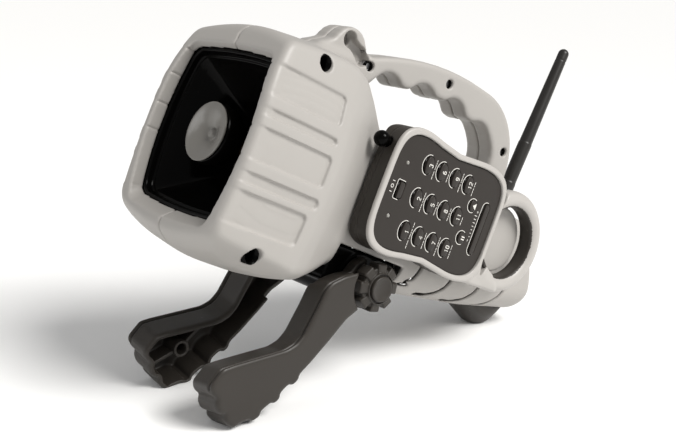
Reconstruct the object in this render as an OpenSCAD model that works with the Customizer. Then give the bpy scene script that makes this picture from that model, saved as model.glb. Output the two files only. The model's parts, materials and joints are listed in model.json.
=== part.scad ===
// Electronic game caller: a horn speaker head on a handled body, standing on two
// clamped front legs and a rear foot, with its remote control docked on the right side.
// X is across the object (+X is the remote's side), Y runs to the rear, Z is up.
// The body is drawn straight in its own u, v frame (u to the rear, v up) and then
// tipped nose-up, so lengths in the body sections are along and across the body.

/* [Stance] */
// Nose-up tilt of the body in degrees
tilt = 25.4; // [22:0.1:28]
// Height of the horn mouth's centre above the ground
head_z = 135.5; // [130:0.5:142]
// Distance from the origin back to the horn mouth's centre
mouth_back = 120.4; // [110:0.1:130]

/* [Head] */
// Half width of the head at the horn mouth
head_hw = 44.5; // [42:0.5:45]
// Half height of the head at the horn mouth
head_hh = 51; // [50:0.5:53]
// How square the head's section is: 2 is an ellipse
head_square = 4.6; // [3:0.1:7]
// Distance from the mouth to the head's widest section
head_wide_u = 46; // [42:1:48]
// Half width of the horn mouth's opening
mouth_hw = 39.2; // [36:0.2:39.4]
// Half height of the horn mouth's opening
mouth_hh = 44; // [42:0.5:46]
// Depth from the head's front face to the horn's lip
mouth_depth = 6; // [4:0.5:8]
// Depth of the recessed panels and grooves in the head's sides
panel_depth = 1.2; // [0.6:0.1:1.6]

/* [Body] */
// Half width of the body behind the head
body_hw = 28; // [27:0.5:29]
// Wall thickness of the case halves
wall = 2.6; // [2:0.1:3]
// Height of the body's top above the head's centre line
body_top = 27; // [24:0.5:29]
// Distance from the mouth to the tail's end
tail_u = 246; // [242:1:250]

/* [Handle] */
// Width of the handle across the object
grip_w = 21; // [19:0.5:23]
// Distance between finger grooves along the handle
finger_pitch = 24.8; // [23:0.2:26]
// Radius of each finger groove
finger_r = 11; // [10:0.5:12]

/* [Legs] */
// Distance of the hip axis behind the mouth
hip_u = 108; // [106:0.5:110]
// Depth of the hip axis below the head's centre line
hip_drop = 40; // [38:0.5:41]
// Inner face of a leg from the centre plane
leg_in = 21; // [19:0.5:22]
// Outer face of a leg from the centre plane
leg_out = 39; // [37:0.5:40]
// Wall thickness of a leg's hollow shell
leg_wall = 2.4; // [2:0.1:3]
// Sideways lean of a leg's section in degrees, its outer edge the higher
leg_lean = 10; // [6:0.5:12]
// Radius of the leg's hub
hub_r = 13; // [12:0.5:13.5]
// Radius of the clamping knob over its lobes
knob_r = 12.5; // [11.5:0.5:13]
// Radius of the hip bolts
bolt_r = 3; // [2.5:0.1:3.5]

/* [Remote] */
// Length of the remote along the body
remote_len = 89; // [86:1:90]
// Half height of the remote's rounded ends
remote_hh = 33; // [31:0.5:34]
// How far the remote's waist is pulled in
waist = 3.6; // [2:0.1:5]
// Front face of the remote from the centre plane
remote_x = 46; // [45.5:0.1:46.5]
// Thickness of the remote
remote_t = 16.6; // [16:0.1:17]
// Width of the light rim around the remote's face
rim = 4.2; // [3.5:0.1:5]
// Spacing of the number keys along the remote
key_pitch_u = 10.6; // [10.2:0.1:11]
// Spacing of the number keys across the remote
key_pitch_v = 17.3; // [16:0.1:18]
// Travel of every key
key_travel = 1.2; // [0.8:0.1:1.4]
// Outer radius of the hanging ring
ring_ro = 28; // [27:0.5:29]
// Inner radius of the hanging ring
ring_ri = 19; // [18.8:0.1:20]

/* [Antenna] */
// Distance of the antenna behind the mouth
antenna_u = 219; // [216:0.5:222]
// Length of the whip above its hinge
whip_len = 97; // [90:1:104]
// Radius of the whip near its base
whip_r = 3.9; // [3.4:0.1:4.2]

/* [Hidden] */

eps = 0.01;
hip_v = -hip_drop;
hip_y = -mouth_back + hip_u * cos(tilt) + hip_v * sin(tilt);
hip_z = head_z - hip_u * sin(tilt) + hip_v * cos(tilt);
saddle_x = 23.5;
body_grey = [0.76, 0.74, 0.71];
dark_grey = [0.28, 0.27, 0.26];
face_grey = [0.23, 0.22, 0.21];
gloss_black = [0.05, 0.05, 0.05];
steel = [0.72, 0.72, 0.74];

// ---------- frames and small helpers ----------

// Draws in the body's frame: x across, y = u to the rear, z = v up
module in_body() {
    translate([0, -mouth_back, head_z]) rotate([-tilt, 0, 0]) children();
}

// A cylinder along X from x0 to x1 at a place (u, v)
module x_rod(x0, x1, u, v, r, fn = 48) {
    translate([min(x0, x1), u, v]) rotate([0, 90, 0]) cylinder(h = abs(x1 - x0), r = r, $fn = fn);
}

// A box from its lowest to its highest corner
module span_box(lo, hi) {
    translate(lo) cube([hi[0] - lo[0], hi[1] - lo[1], hi[2] - lo[2]]);
}

// An outline drawn in (u, v), standing across X from x0 to x1
module side_plate(x0, x1) {
    translate([x0, 0, 0]) rotate([90, 0, 90]) linear_extrude(height = x1 - x0) children();
}

// A thin slice across the body at u, drawn in (x, v)
module slice_at(u, t = eps) {
    translate([0, u + t, 0]) rotate([90, 0, 0]) linear_extrude(height = t) children();
}

function signed_pow(x, p) = sign(x) * pow(abs(x), p);
function squircle(a, b, n, steps = 64) = [
    for (i = [0 : steps - 1]) let (t = 360 * i / steps)
        [a * signed_pow(cos(t), 2 / n), b * signed_pow(sin(t), 2 / n)]
];
function arc(c, r, a0, a1, steps) = [
    for (i = [0 : steps]) let (a = a0 + (a1 - a0) * i / steps) [c[0] + r * cos(a), c[1] + r * sin(a)]
];

// ---------- case ----------

// Head sections from mouth to neck: distance, half width, half height
head_sections = [
    [0, head_hw, head_hh], [16, head_hw + 1, head_hh + 4.6], [head_wide_u, head_hw + 1.5, head_hh + 6.4],
    [head_wide_u + 12, head_hw - 1.5, head_hh + 4], [head_wide_u + 26, head_hw - 8.5, head_hh - 3],
    [head_wide_u + 44, body_hw - 2, body_top + 2]
];

module head_form(inset) {
    hull() for (s = head_sections)
        slice_at(s[0]) polygon(squircle(s[1] - inset, s[2] - inset, head_square));
}

// Body sections: distance, half width, bottom, top
body_sections = [
    [76, body_hw, -40, body_top], [147, body_hw, -40.5, body_top],
    [tail_u - 13, body_hw - 3, -28, body_top - 5], [tail_u - 6, body_hw - 4, -26.5, -2],
    [tail_u, body_hw - 8, -22, -8]
];
body_top_r = 8;
body_low_r = 16;

module body_form(inset) {
    hull() for (s = body_sections) for (side = [-1, 1]) {
        low_r = min(body_low_r, (s[3] - s[2]) / 2);
        translate([side * (s[1] - body_top_r), s[0], s[3] - body_top_r]) rotate([-90, 0, 0])
            cylinder(h = 1, r = body_top_r - inset, $fn = 32);
        translate([side * (s[1] - low_r), s[0], s[2] + low_r]) rotate([-90, 0, 0])
            cylinder(h = 1, r = low_r - inset, $fn = 32);
    }
}

grip_back = [165, 44];
grip_back_r = 38.5;
grip_arch = [150, -90];
grip_arch_r = 173;
finger_places = [for (i = [0 : 3]) [94 + i * finger_pitch, [53.5, 57.5, 58.5, 54.5][i]]];

// Handle outline in (u, v)
module grip_outline(inset) {
    difference() {
        polygon(concat(
            [[24, 48], [30, 53 - inset], [46, 60 - inset]],
            arc(grip_arch, grip_arch_r - inset, 118, 87, 10),
            arc(grip_back, grip_back_r - inset, 84, 0, 14),
            [[204 - inset, 16], [187 + inset, 16], [187 + inset, 40]],
            arc([172, 47], 15 - inset, 0, 60, 5),
            [[158, 63 + inset], [132, 65 + inset], [107, 61 + inset], [82, 57 + inset]],
            [[74 + inset, 50 + inset], [68, 30], [40, 30]]
        ));
        for (p = finger_places) translate(p) circle(r = finger_r + inset, $fn = 48);
    }
}

loop_c = [62, 65.5];
module loop_outline() {
    translate(loop_c) circle(r = 10.5, $fn = 48);
    polygon([[40, 54], [52.8, 70.5], [62, 60], [78, 70.5], [84, 58]]);
}

// Screws that join the case halves: u, v, depth of the head's seat from the centre plane,
// how far the boss's rib runs to the case wall, and the side that the screw enters from
screw_places = [
    [27.3, 46.5, 12, 8.5, 1], [25.8, -45.9, 12, -9, 1], [77, 62, 5, 0, 1], [134, 75, 5, 0, 1],
    [194, 57, 5, 0, 1], [236, -14, 14, -11, -1]
];
screw_head_r = 2.8;
screw_r = 1.4;
boss_r = 4.6;

// Side panels: lowest v, highest v, rear end
side_panels = [[22.7, 36.7, 44], [13.4, 17, 45], [-6.6, 8.2, 45.3], [-17, -12, 47], [-35.5, -20.5, 43.7]];
function head_side(v) = head_hw * pow(1 - pow(abs(v) / (head_hh + 5), head_square), 1 / head_square);

module head_panels() {
    for (side = [-1, 1]) for (p = side_panels) {
        mid = (p[0] + p[1]) / 2;
        slope = atan2(head_side(p[0]) - head_side(p[1]), p[1] - p[0]);
        scale_x = head_side(mid) - panel_depth;
        mirror([side < 0 ? 1 : 0, 0, 0])
            translate([scale_x, -1, mid]) rotate([0, -slope, 0]) rotate([0, 0, -1.6])
                span_box([0, 0, p[0] - mid], [9, p[2] + 1, p[1] - mid]);
    }
}

dock_post_r = 17.6;
ring_c = [184, 7];
door_u = [134, 232];
door_v = [-14, 17];
door_t = 2;
door_hinge = [-body_hw + 1.3, door_v[0] + 2.2];
door_back_x = -body_hw + door_t + 0.3;
bay_rim = 3;
bay_x = -20;
remote_c = [124.5, 8.4];
remote_end_u = remote_c[0] + remote_len / 2;
hip_pocket = [[-60, hip_u - 24.2, -70], [60, hip_u + 23.8, -25.8]];

// The whole case, both halves together
module case_body() {
    difference() {
        union() {
            difference() {
                union() {
                    head_form(0);
                    body_form(0);
                }
                intersection() {
                    head_form(wall);
                    span_box([-60, mouth_depth, -80], [60, 120, 80]);
                }
                body_form(wall);
                slice_at(-1, mouth_depth + 2) polygon(squircle(mouth_hw, mouth_hh, head_square));
                head_panels();
            }
            difference() {
                side_plate(-grip_w / 2, grip_w / 2) {
                    grip_outline(0);
                    loop_outline();
                }
                side_plate(-grip_w / 2 + wall, grip_w / 2 - wall) grip_outline(wall);
                head_form(wall);
                body_form(wall);
            }
            case_bosses();
        }
        case_cuts();
    }
}

module case_bosses() {
    // Screw bosses, meeting at the seam
    for (s = screw_places) {
        x_rod(-s[2] - 2, s[2] + 2, s[0], s[1], boss_r, 24);
        if (s[3] != 0)
            span_box([-s[2] - 2, s[0] - 2, s[1] + min(s[3], 0)], [s[2] + 2, s[0] + 2, s[1] + max(s[3], 0)]);
    }
    // Post that the remote's ring hangs on, flat beside the remote's end
    difference() {
        x_rod(body_hw - 3, 35.5, ring_c[0], ring_c[1], dock_post_r, 64);
        span_box([body_hw + 0.6, 160, -20], [60, remote_end_u + 0.5, 40]);
    }
    // Flat bay round the battery door
    span_box([-body_hw, door_u[0] - bay_rim, door_v[0] - bay_rim],
             [bay_x, door_u[1] + bay_rim, door_v[1] + bay_rim]);
    // Floor over the hip saddle
    intersection() {
        body_form(0);
        span_box([-60, hip_u - 27, -25.8], [60, hip_u + 26.4, -25.8 + wall]);
    }
    for (end = [[hip_u - 26.8, hip_u - 24.2], [hip_u + 23.8, hip_u + 26.4]]) intersection() {
        body_form(0);
        span_box([-60, end[0], -60], [60, end[1], -24]);
    }
}

module case_cuts() {
    // Pocket for the hip saddle
    span_box(hip_pocket[0], hip_pocket[1]);
    // Lanyard hole and its notch
    x_rod(-20, 20, 60, 69, 4, 32);
    x_rod(6, 20, 71, 67, 4.4, 32);
    span_box([6, 60, 65.4], [20, 71, 70]);
    // Battery opening in the left wall, with a ledge along its top for the door to close on
    span_box([-60, door_u[0], door_v[0]], [door_back_x, door_u[1], door_v[1]]);
    span_box([-60, door_u[0], door_v[0]], [bay_x + 1, door_u[1], door_v[1] - 1.5]);
    // Holes for the door's hinge pins
    translate([door_hinge[0], door_u[0] - 2.2, door_hinge[1]]) rotate([-90, 0, 0])
        cylinder(h = door_u[1] - door_u[0] + 4.4, r = 1.05, $fn = 32);
    // Screw clearances
    for (s = screw_places) {
        x_rod(s[4] * s[2], s[4] * 60, s[0], s[1], screw_head_r + 0.4, 32);
        x_rod(-s[4] * s[2], s[4] * (s[2] + 1), s[0], s[1], screw_r + 0.1, 24);
    }
    // Antenna socket
    translate([0, antenna_u, 10]) cylinder(h = 40, r = 4.6, $fn = 48);
}

module body_shell_right() {
    color(body_grey) in_body() intersection() {
        case_body();
        span_box([0, -5, -80], [70, 270, 100]);
    }
}

module body_shell_left() {
    color(body_grey) in_body() intersection() {
        case_body();
        span_box([-70, -5, -80], [0, 270, 100]);
    }
}

module case_screws() {
    color(steel) in_body() for (s = screw_places) {
        x_rod(s[4] * s[2], s[4] * (s[2] + 2.2), s[0], s[1], screw_head_r, 32);
        x_rod(s[4] * (1 - s[2]), s[4] * s[2], s[0], s[1], screw_r, 24);
    }
}

// ---------- horn and driver ----------

horn_throat_u = 58;
// Horn sections: distance, half width, half height, squareness
horn_sections = [
    [mouth_depth, mouth_hw - 0.2, mouth_hh - 0.2, head_square], [30, 25, 28, 3], [horn_throat_u, 12, 12, 2]
];

module horn_form(grow, extra) {
    for (i = [0 : 1]) hull() for (j = [i, i + 1]) {
        s = horn_sections[j];
        slice_at(s[0] + (j == 0 ? -extra : j == 2 ? extra : 0))
            polygon(squircle(s[1] + grow, s[2] + grow, s[3], 48));
    }
}

module horn_flare() {
    color(gloss_black) in_body() difference() {
        union() {
            intersection() {
                horn_form(0, 0);
                head_form(wall);
            }
            translate([0, horn_throat_u - 3, 0]) rotate([-90, 0, 0]) cylinder(h = 3, r = 22, $fn = 64);
        }
        horn_form(-2, 0.5);
        translate([0, horn_throat_u - 4, 0]) rotate([-90, 0, 0]) cylinder(h = 5, r = 10, $fn = 48);
    }
}

plug_front_u = 5.5;
plug_r = 14.5;

// Round dished plug in front of the throat, on a stem with three vanes
module phase_plug() {
    color(body_grey) in_body() translate([0, plug_front_u, 0]) rotate([-90, 0, 0]) {
        rotate_extrude($fn = 64) polygon(concat(
            [[1.6, 7]], [[2.6, 4.5], [6, 2.6], [9.5, 1.6]],
            arc([12.3, 2.6], 2.3, -110, 10, 6),
            [[13, 7], [9, 15], [5, 26], [3.6, 44], [1.6, 44]]
        ));
    }
    color(gloss_black) in_body() for (a = [90, 210, 330]) rotate([0, a, 0])
        span_box([3, 40, -0.9], [10.4, 47, 0.9]);
}

driver_u = horn_throat_u + eps;
module driver_ring(u0, u1, ro, ri) {
    translate([0, u0, 0]) rotate([-90, 0, 0]) difference() {
        cylinder(h = u1 - u0, r = ro, $fn = 64);
        if (ri > 0) translate([0, 0, -1]) cylinder(h = u1 - u0 + 2, r = ri, $fn = 48);
    }
}

module driver_frame() {
    color(dark_grey) in_body() driver_ring(driver_u, driver_u + 5, 22, 15);
}
module driver_diaphragm() {
    color([0.75, 0.62, 0.35]) in_body() translate([0, driver_u + 1, 0]) rotate([-90, 0, 0])
        difference() {
            cylinder(h = 3.6, r = 14.6, $fn = 64);
            translate([0, 0, -1]) cylinder(h = 3.6, r1 = 13.4, r2 = 8, $fn = 48);
        }
}
module driver_magnet() {
    color([0.2, 0.2, 0.22]) in_body() driver_ring(driver_u + 5, driver_u + 15, 20, 0);
}
module driver_cover() {
    color(steel) in_body() difference() {
        driver_ring(driver_u + 5, driver_u + 18, 21.6, 0);
        driver_ring(driver_u + 4, driver_u + 16, 20.2, 0);
    }
}

// ---------- electronics and power ----------

module main_board() {
    color([0.1, 0.35, 0.16]) in_body() {
        span_box([-4, 80, -20], [-2.4, 124, 20]);
        span_box([-2.4, 86, -12], [0.6, 100, 2]);
        span_box([-2.4, 106, 2], [1.6, 114, 10]);
        for (i = [0 : 2]) translate([-2.4, 86 + 10 * i, 14]) rotate([0, 90, 0]) cylinder(h = 8, r = 3, $fn = 32);
    }
}
module radio_module() {
    color([0.14, 0.2, 0.42]) in_body() {
        span_box([-12, 172, 15.6], [12, 208, 17]);
        span_box([-6, 180, 17], [6, 196, 19.5]);
    }
}

cell_r = 7.1;
cell_len = 50.4;
tray_u = [126.4, 230.8];

// Tray that holds two rows of cells, open towards the battery door
module battery_tray() {
    color([0.12, 0.12, 0.12]) in_body() difference() {
        span_box([-15.5, tray_u[0], -16.4], [17, tray_u[1], 14.6]);
        span_box([-20, tray_u[0] + 1.2, -14.6], [15.4, tray_u[1] - 1.2, 20]);
    }
}
module battery_cells() {
    color([0.15, 0.35, 0.2]) in_body() for (k = [0, 1]) for (x = [-7.6, 7.4]) for (v = [-7.3, 7])
        translate([x, tray_u[0] + 1.4 + k * (cell_len + 0.6), v]) rotate([-90, 0, 0]) {
            cylinder(h = cell_len - 1, r = cell_r, $fn = 48);
            translate([0, 0, cell_len - 1]) cylinder(h = 1, r = 2.6, $fn = 32);
        }
}

door_mid = (door_u[0] + door_u[1]) / 2;
door_gap = 0.4;

// Door hinged along its lower edge on two end pins
module battery_door() {
    color(body_grey) in_body() {
        span_box([-body_hw, door_u[0] + door_gap, door_v[0] + 0.9],
                 [-body_hw + door_t, door_u[1] - door_gap, door_v[1] - door_gap]);
        translate([door_hinge[0], door_u[0] - 1.6, door_hinge[1]]) rotate([-90, 0, 0])
            cylinder(h = door_u[1] - door_u[0] + 3.2, r = 0.9, $fn = 32);
    }
}

// Finger pad of the door's snap, fixed to the door
module door_latch() {
    color(dark_grey) in_body() {
        span_box([-body_hw - 1, door_mid - 8, door_v[1] - 8.6], [-body_hw, door_mid + 8, door_v[1] - 1.4]);
        for (i = [0 : 2]) translate([-body_hw - 1.6, door_mid - 6, door_v[1] - 7.4 + 2 * i]) cube([0.7, 12, 1]);
    }
}

// ---------- antenna ----------

antenna_v = body_top + 1;
antenna_hinge_v = antenna_v + 8;
antenna_lean = 4.1;

module antenna_swivel() {
    color(gloss_black) in_body() translate([0, antenna_u, 0]) difference() {
        union() {
            translate([0, 0, antenna_v - 11]) cylinder(h = 11, r = 4.5, $fn = 48);
            translate([0, 0, antenna_v]) cylinder(h = 2.6, r = 6, $fn = 6);
            translate([-2, -4.5, antenna_v + 2]) cube([4, 9, 6]);
            x_rod(-2, 2, 0, antenna_hinge_v, 4.5);
        }
        x_rod(-6, 6, 0, antenna_hinge_v, 1.3, 32);
    }
}
module antenna_whip() {
    color(gloss_black) in_body() translate([0, antenna_u, antenna_hinge_v]) rotate([-antenna_lean, 0, 0]) {
        difference() {
            union() {
                rotate([0, 90, 0]) translate([0, 0, -4.6]) cylinder(h = 9.2, r = 4.4, $fn = 48);
                translate([0, 0, 3]) cylinder(h = 6, r = 4.4, $fn = 48);
            }
            span_box([-2.3, -8, -8], [2.3, 8, 5.4]);
        }
        rotate([0, 90, 0]) translate([0, 0, -4]) cylinder(h = 8, r = 1.22, $fn = 32);
        translate([0, 0, 9]) cylinder(h = 26, r = 4.2, $fn = 48);
        translate([0, 0, 35]) cylinder(h = whip_len - 35 - 3.2, r1 = whip_r, r2 = 3.2, $fn = 48);
        translate([0, 0, whip_len - 3.2]) sphere(r = 3.2, $fn = 32);
    }
}

// ---------- rear foot ----------

foot_y = -mouth_back + 195;
foot_r = 7.4;
foot_hw = 14;
insert_r = 4.6;
thread_r = 3.175;
thread_len = 9;

// Cone-shaped foot, cut flat on both sides
module rear_foot() {
    color(dark_grey) difference() {
        intersection() {
            translate([0, foot_y, 0]) cylinder(h = 19, r1 = foot_r, r2 = foot_r + 16, $fn = 64);
            span_box([-foot_hw, foot_y - 40, -1], [foot_hw, foot_y + 20, 30]);
        }
        in_body() body_form(-0.02);
        translate([0, foot_y, -1]) cylinder(h = thread_len + 1, r = insert_r, $fn = 64);
    }
}
module tripod_insert() {
    color([0.8, 0.65, 0.3]) translate([0, foot_y, 0]) difference() {
        translate([0, 0, 0.3]) cylinder(h = thread_len - 0.3, r = insert_r, $fn = 64);
        translate([0, 0, -1]) cylinder(h = thread_len + 2, r = thread_r, $fn = 64);
    }
}

// ---------- hips, legs and knobs ----------

module hip_saddle() {
    color(gloss_black) in_body() difference() {
        union() {
            span_box([-saddle_x, hip_u - 24, -43], [saddle_x, hip_u + 23.6, -26]);
            x_rod(-saddle_x, saddle_x, hip_u, hip_v, hub_r);
            for (u = [hip_u - 20, hip_u + 19.6]) x_rod(-saddle_x, saddle_x, u, -43, 4);
            span_box([-saddle_x, hip_u - 20, -47], [saddle_x, hip_u + 19.6, -42]);
        }
        x_rod(-30, 30, hip_u, hip_v, bolt_r + 0.05);
        for (side = [-1, 1]) x_rod(side * 2, side * 8, hip_u, hip_v, 5.6, 6);
    }
}
module hip_bolts() {
    color(steel) in_body() for (side = [-1, 1]) {
        x_rod(side * 2.2, side * 6.8, hip_u, hip_v, 5.5, 6);
        x_rod(side * 6.8, side * 39.4, hip_u, hip_v, bolt_r);
    }
}
module hip_washers() {
    color(steel) in_body() for (side = [-1, 1]) difference() {
        x_rod(side * saddle_x, side * (saddle_x + 0.8), hip_u, hip_v, 9);
        x_rod(side * (saddle_x - 1), side * (saddle_x + 2), hip_u, hip_v, bolt_r + 0.1);
    }
}

hub_in = saddle_x + 1.1;
hub_out = 31;
saddle_sweep = 29.5;
// Screw boss inside the shin: y, height above the ground
shin_boss = [-74, 17];

// Leg outline in (y, z) about the hip, halfway across the leg: heights are given above the ground
function above_ground(y, h) = [y, h - hip_z];
leg_outline = [
    above_ground(-9, 61), above_ground(-20, 60.8), above_ground(-28, 59.2), above_ground(-31.5, 56.4),
    above_ground(-36, 49), above_ground(-45, 36.5), above_ground(-49, 33.2), above_ground(-55, 31.4),
    above_ground(-84, 31), above_ground(-90.4, 30.6), above_ground(-97.2, 24.4), above_ground(-96.8, 19.6),
    above_ground(-93.4, 15.6), above_ground(-90.4, 6.4), above_ground(-84.6, 0.6), above_ground(-80, 0.8),
    above_ground(-69.4, 4.4), above_ground(-60, 9.4), above_ground(-50, 14.6), above_ground(-40.4, 21.4),
    above_ground(-28, 31), above_ground(-18.7, 38.6), above_ground(-9, 43)
];
// Tread lugs: y, height, turn, length
tread_lugs = [
    [-92.4, 12, 112, 8], [-87.6, 3.4, 134, 9], [-71, 3.8, 22, 9], [-59.5, 9.6, 30, 8], [-48.5, 15.4, 34, 7]
];
leg_mid = (leg_in + leg_out) / 2;

// What stands on the leg's outline from x0 to x1, leaning with the leg
module leg_bar(x0, x1) {
    intersection() {
        translate([0, 0, -leg_mid * tan(leg_lean)]) rotate([0, -leg_lean, 0]) side_plate(0, 80) children();
        span_box([x0, -120, -70], [x1, 40, 40]);
    }
}

// A leg for the right side, drawn about the hip axis
module leg_solid() {
    translate([0, hip_y, hip_z]) difference() {
        union() {
            difference() {
                leg_bar(leg_in, leg_out) polygon(leg_outline);
                // Open inner side of the hollow shell
                leg_bar(leg_in - 1, leg_out - leg_wall) offset(delta = -leg_wall) polygon(leg_outline);
                // Sweep of the saddle, and the recess for the knob
                x_rod(leg_in - 2, hub_in, 0, 0, saddle_sweep, 96);
                x_rod(hub_out - 0.4, leg_out + 5, 0, 0, knob_r + 2.2, 96);
            }
            leg_bar(leg_in, leg_out) for (t = tread_lugs)
                translate([t[0], t[1] - hip_z]) rotate(t[2] - 90) square([3.2, t[3]], center = true);
            x_rod(hub_in, hub_out, 0, 0, hub_r);
            // Screw boss and rib inside the shin
            x_rod(leg_in + 3, leg_out - 1, shin_boss[0], shin_boss[1] - hip_z, 3.4, 32);
            span_box([leg_in + 4, shin_boss[0] - 1, shin_boss[1] - hip_z - 9],
                     [leg_out - 1, shin_boss[0] + 1, shin_boss[1] - hip_z + 12]);
        }
        x_rod(hub_in - 5, leg_out + 5, 0, 0, bolt_r + 0.06);
        x_rod(leg_in, leg_out - 5, shin_boss[0], shin_boss[1] - hip_z, 1.4, 24);
        // Nothing reaches below the ground
        span_box([0, -200, -hip_z - 20], [60, 60, -hip_z]);
    }
}
module leg_right() {
    color(dark_grey) leg_solid();
}
module leg_left() {
    color(dark_grey) mirror([1, 0, 0]) leg_solid();
}

knob_face = 40.4;
// Clamping knob with eight lobes, drawn along X from its base
module knob_solid() {
    translate([0, hip_y, hip_z]) difference() {
        union() {
            x_rod(hub_out + 0.4, knob_face, 0, 0, knob_r - 2, 64);
            for (i = [0 : 7]) rotate([45 * i, 0, 0])
                span_box([hub_out + 2.4, -3.1, knob_r - 4], [knob_face + 0.3, 3.1, knob_r - 0.3]);
            x_rod(knob_face - 1, knob_face + 2.6, 0, 0, 7, 64);
        }
        x_rod(hub_out - 1, knob_face - 0.6, 0, 0, bolt_r + 0.05);
        for (i = [0 : 7]) rotate([45 * i + 22.5, 0, 0])
            translate([hub_out + 2, 0, knob_r + 0.6]) rotate([0, 90, 0]) cylinder(h = 20, r = 2.6, $fn = 24);
    }
}
module knob_right() {
    color(gloss_black) knob_solid();
}
module knob_left() {
    color(gloss_black) mirror([1, 0, 0]) knob_solid();
}

// ---------- remote ----------

remote_back = remote_x - remote_t;
bezel_back = remote_x - 2.4;
ring_back = remote_x - 12;
face_x = remote_x - 1.2;
face_t = 2;

// Hourglass outline in (u, v)
function remote_pts(inset) = [
    for (i = [0 : 95]) let (
        t = 360 * i / 96,
        du = (remote_len / 2 - inset) * signed_pow(cos(t), 0.4),
        pinch = waist * exp(-pow((du + 2) / 19, 2)),
        dv = (remote_hh - inset - pinch - du * 0.02) * signed_pow(sin(t), 0.4)
    ) [remote_c[0] + du, remote_c[1] + dv]
];

module ring_outline() {
    difference() {
        union() {
            translate(ring_c) circle(r = ring_ro, $fn = 96);
            // Web from the rim's rear corner to the ring
            polygon([[150, -22], [166, -21.6], [188, -20.6], [176, -4], [160, -4]]);
        }
        translate(ring_c) circle(r = ring_ri, $fn = 96);
        // Mouth of the hook, beside the remote's upper corner
        polygon([[140, -3], [169.4, -3], [169.4, 24], [172.4, 40], [140, 40]]);
    }
}

module remote_bezel() {
    color(body_grey) in_body() difference() {
        union() {
            difference() {
                side_plate(bezel_back, remote_x) polygon(remote_pts(0));
                side_plate(bezel_back - 1, remote_x + 1) polygon(remote_pts(rim));
            }
            side_plate(ring_back, remote_x - 0.6) ring_outline();
        }
        side_plate(ring_back - 1, bezel_back) polygon(remote_pts(-0.2));
        side_plate(ring_back - 1, remote_x + 1) polygon(remote_pts(rim));
    }
}

remote_screw_places = [[88, 29], [88, -12], [160, 24], [160, -8]];
module remote_housing() {
    color(dark_grey) in_body() difference() {
        union() {
            difference() {
                side_plate(remote_back, bezel_back) polygon(remote_pts(0.5));
                side_plate(remote_back + 2, bezel_back + 1) polygon(remote_pts(4.2));
            }
            for (p = remote_screw_places) x_rod(remote_back + 1, remote_back + 4, p[0], p[1], 3, 32);
        }
        // Battery opening in the back, and the screws' recesses
        span_box([remote_back - 1, 98, -8], [remote_back + 3, 150, 24]);
        for (p = remote_screw_places) x_rod(remote_back - 1, remote_back + 1.95, p[0], p[1], 1.7, 24);
        // Bevel beside the head's neck
        translate([0, 0, -60]) linear_extrude(height = 120) polygon([[20, 60], [38.5, 70], [28, 88]]);
        // Socket for the stub antenna in the nose end
        translate([remote_back + 8, 76, 28]) rotate([-90, 0, 0]) cylinder(h = 14, r = 2.6, $fn = 32);
    }
}

key_u0 = remote_c[0] - 1.8 * key_pitch_u;
key_v0 = remote_c[1] - 0.2;
key_a = 3.5;
key_b = 4.4;
function key_place(n) = [key_u0 + floor((n - 1) / 3) * key_pitch_u, key_v0 + ((n - 1) % 3 - 1) * key_pitch_v];
power_place = [92.6, 8.3];
play_place = [146.2, 16.8];
pause_place = [146.2, -0.8];
volume_place = [157, 7];
round_key_r = 3;
lamp_places = [[91.6, 22], [91.6, -5.4]];

module oval(a, b) {
    scale_steps = 48;
    polygon([for (i = [0 : scale_steps - 1]) let (t = 360 * i / scale_steps) [a * cos(t), b * sin(t)]]);
}
module key_outline(grow) {
    oval(key_a + grow, key_b + grow);
}
module power_outline(grow) {
    square([4.8 + 2 * grow, 8.2 + 2 * grow], center = true);
}
module volume_outline(grow) {
    square([4.8 + 2 * grow, 23], center = true);
    for (s = [-1, 1]) translate([0, s * 11.5]) circle(r = 2.4 + grow, $fn = 32);
}

module remote_face() {
    color(face_grey) in_body() side_plate(face_x - face_t, face_x) difference() {
        polygon(remote_pts(rim + 0.1));
        for (n = [1 : 12]) translate(key_place(n)) key_outline(0.35);
        for (p = [play_place, pause_place]) translate(p) circle(r = round_key_r + 0.35, $fn = 48);
        translate(power_place) power_outline(0.35);
        translate(volume_place) volume_outline(0.35);
        for (p = lamp_places) translate(p) circle(r = 1, $fn = 24);
    }
}

key_top = face_x + 0.3;
key_foot = face_x - 5.2;
// A key: its cap in the face and a shoulder behind the face
module key_solid(place) {
    in_body() translate([0, place[0], place[1]]) {
        side_plate(face_x - face_t - 0.4, key_top) children(0);
        side_plate(key_foot, face_x - face_t - 0.4) children(1);
    }
}
module number_key(n) {
    color(face_grey) key_solid(key_place(n)) {
        key_outline(0);
        key_outline(0.5);
    }
}
module key_1() { number_key(1); }
module key_2() { number_key(2); }
module key_3() { number_key(3); }
module key_4() { number_key(4); }
module key_5() { number_key(5); }
module key_6() { number_key(6); }
module key_7() { number_key(7); }
module key_8() { number_key(8); }
module key_9() { number_key(9); }
module key_10() { number_key(10); }
module key_11() { number_key(11); }
module key_12() { number_key(12); }
module play_key() {
    color(face_grey) key_solid(play_place) {
        circle(r = round_key_r, $fn = 48);
        circle(r = round_key_r + 0.8, $fn = 48);
    }
}
module pause_key() {
    color(face_grey) key_solid(pause_place) {
        circle(r = round_key_r, $fn = 48);
        circle(r = round_key_r + 0.8, $fn = 48);
    }
}
module power_key() {
    color(face_grey) key_solid(power_place) {
        power_outline(0);
        power_outline(0.7);
    }
}
rocker_pin = 8;
module volume_rocker() {
    color(face_grey) in_body() translate([0, volume_place[0], volume_place[1]]) {
        side_plate(face_x - face_t - 0.8, key_top) volume_outline(0);
        x_rod(key_foot + 0.6, face_x - face_t - 0.8, 0, 0, 2, 32);
        // Pivot that it rocks about
        translate([face_x - 3.4, -rocker_pin / 2, 0]) rotate([-90, 0, 0])
            cylinder(h = rocker_pin, r = 1.2, $fn = 32);
    }
}

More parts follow.
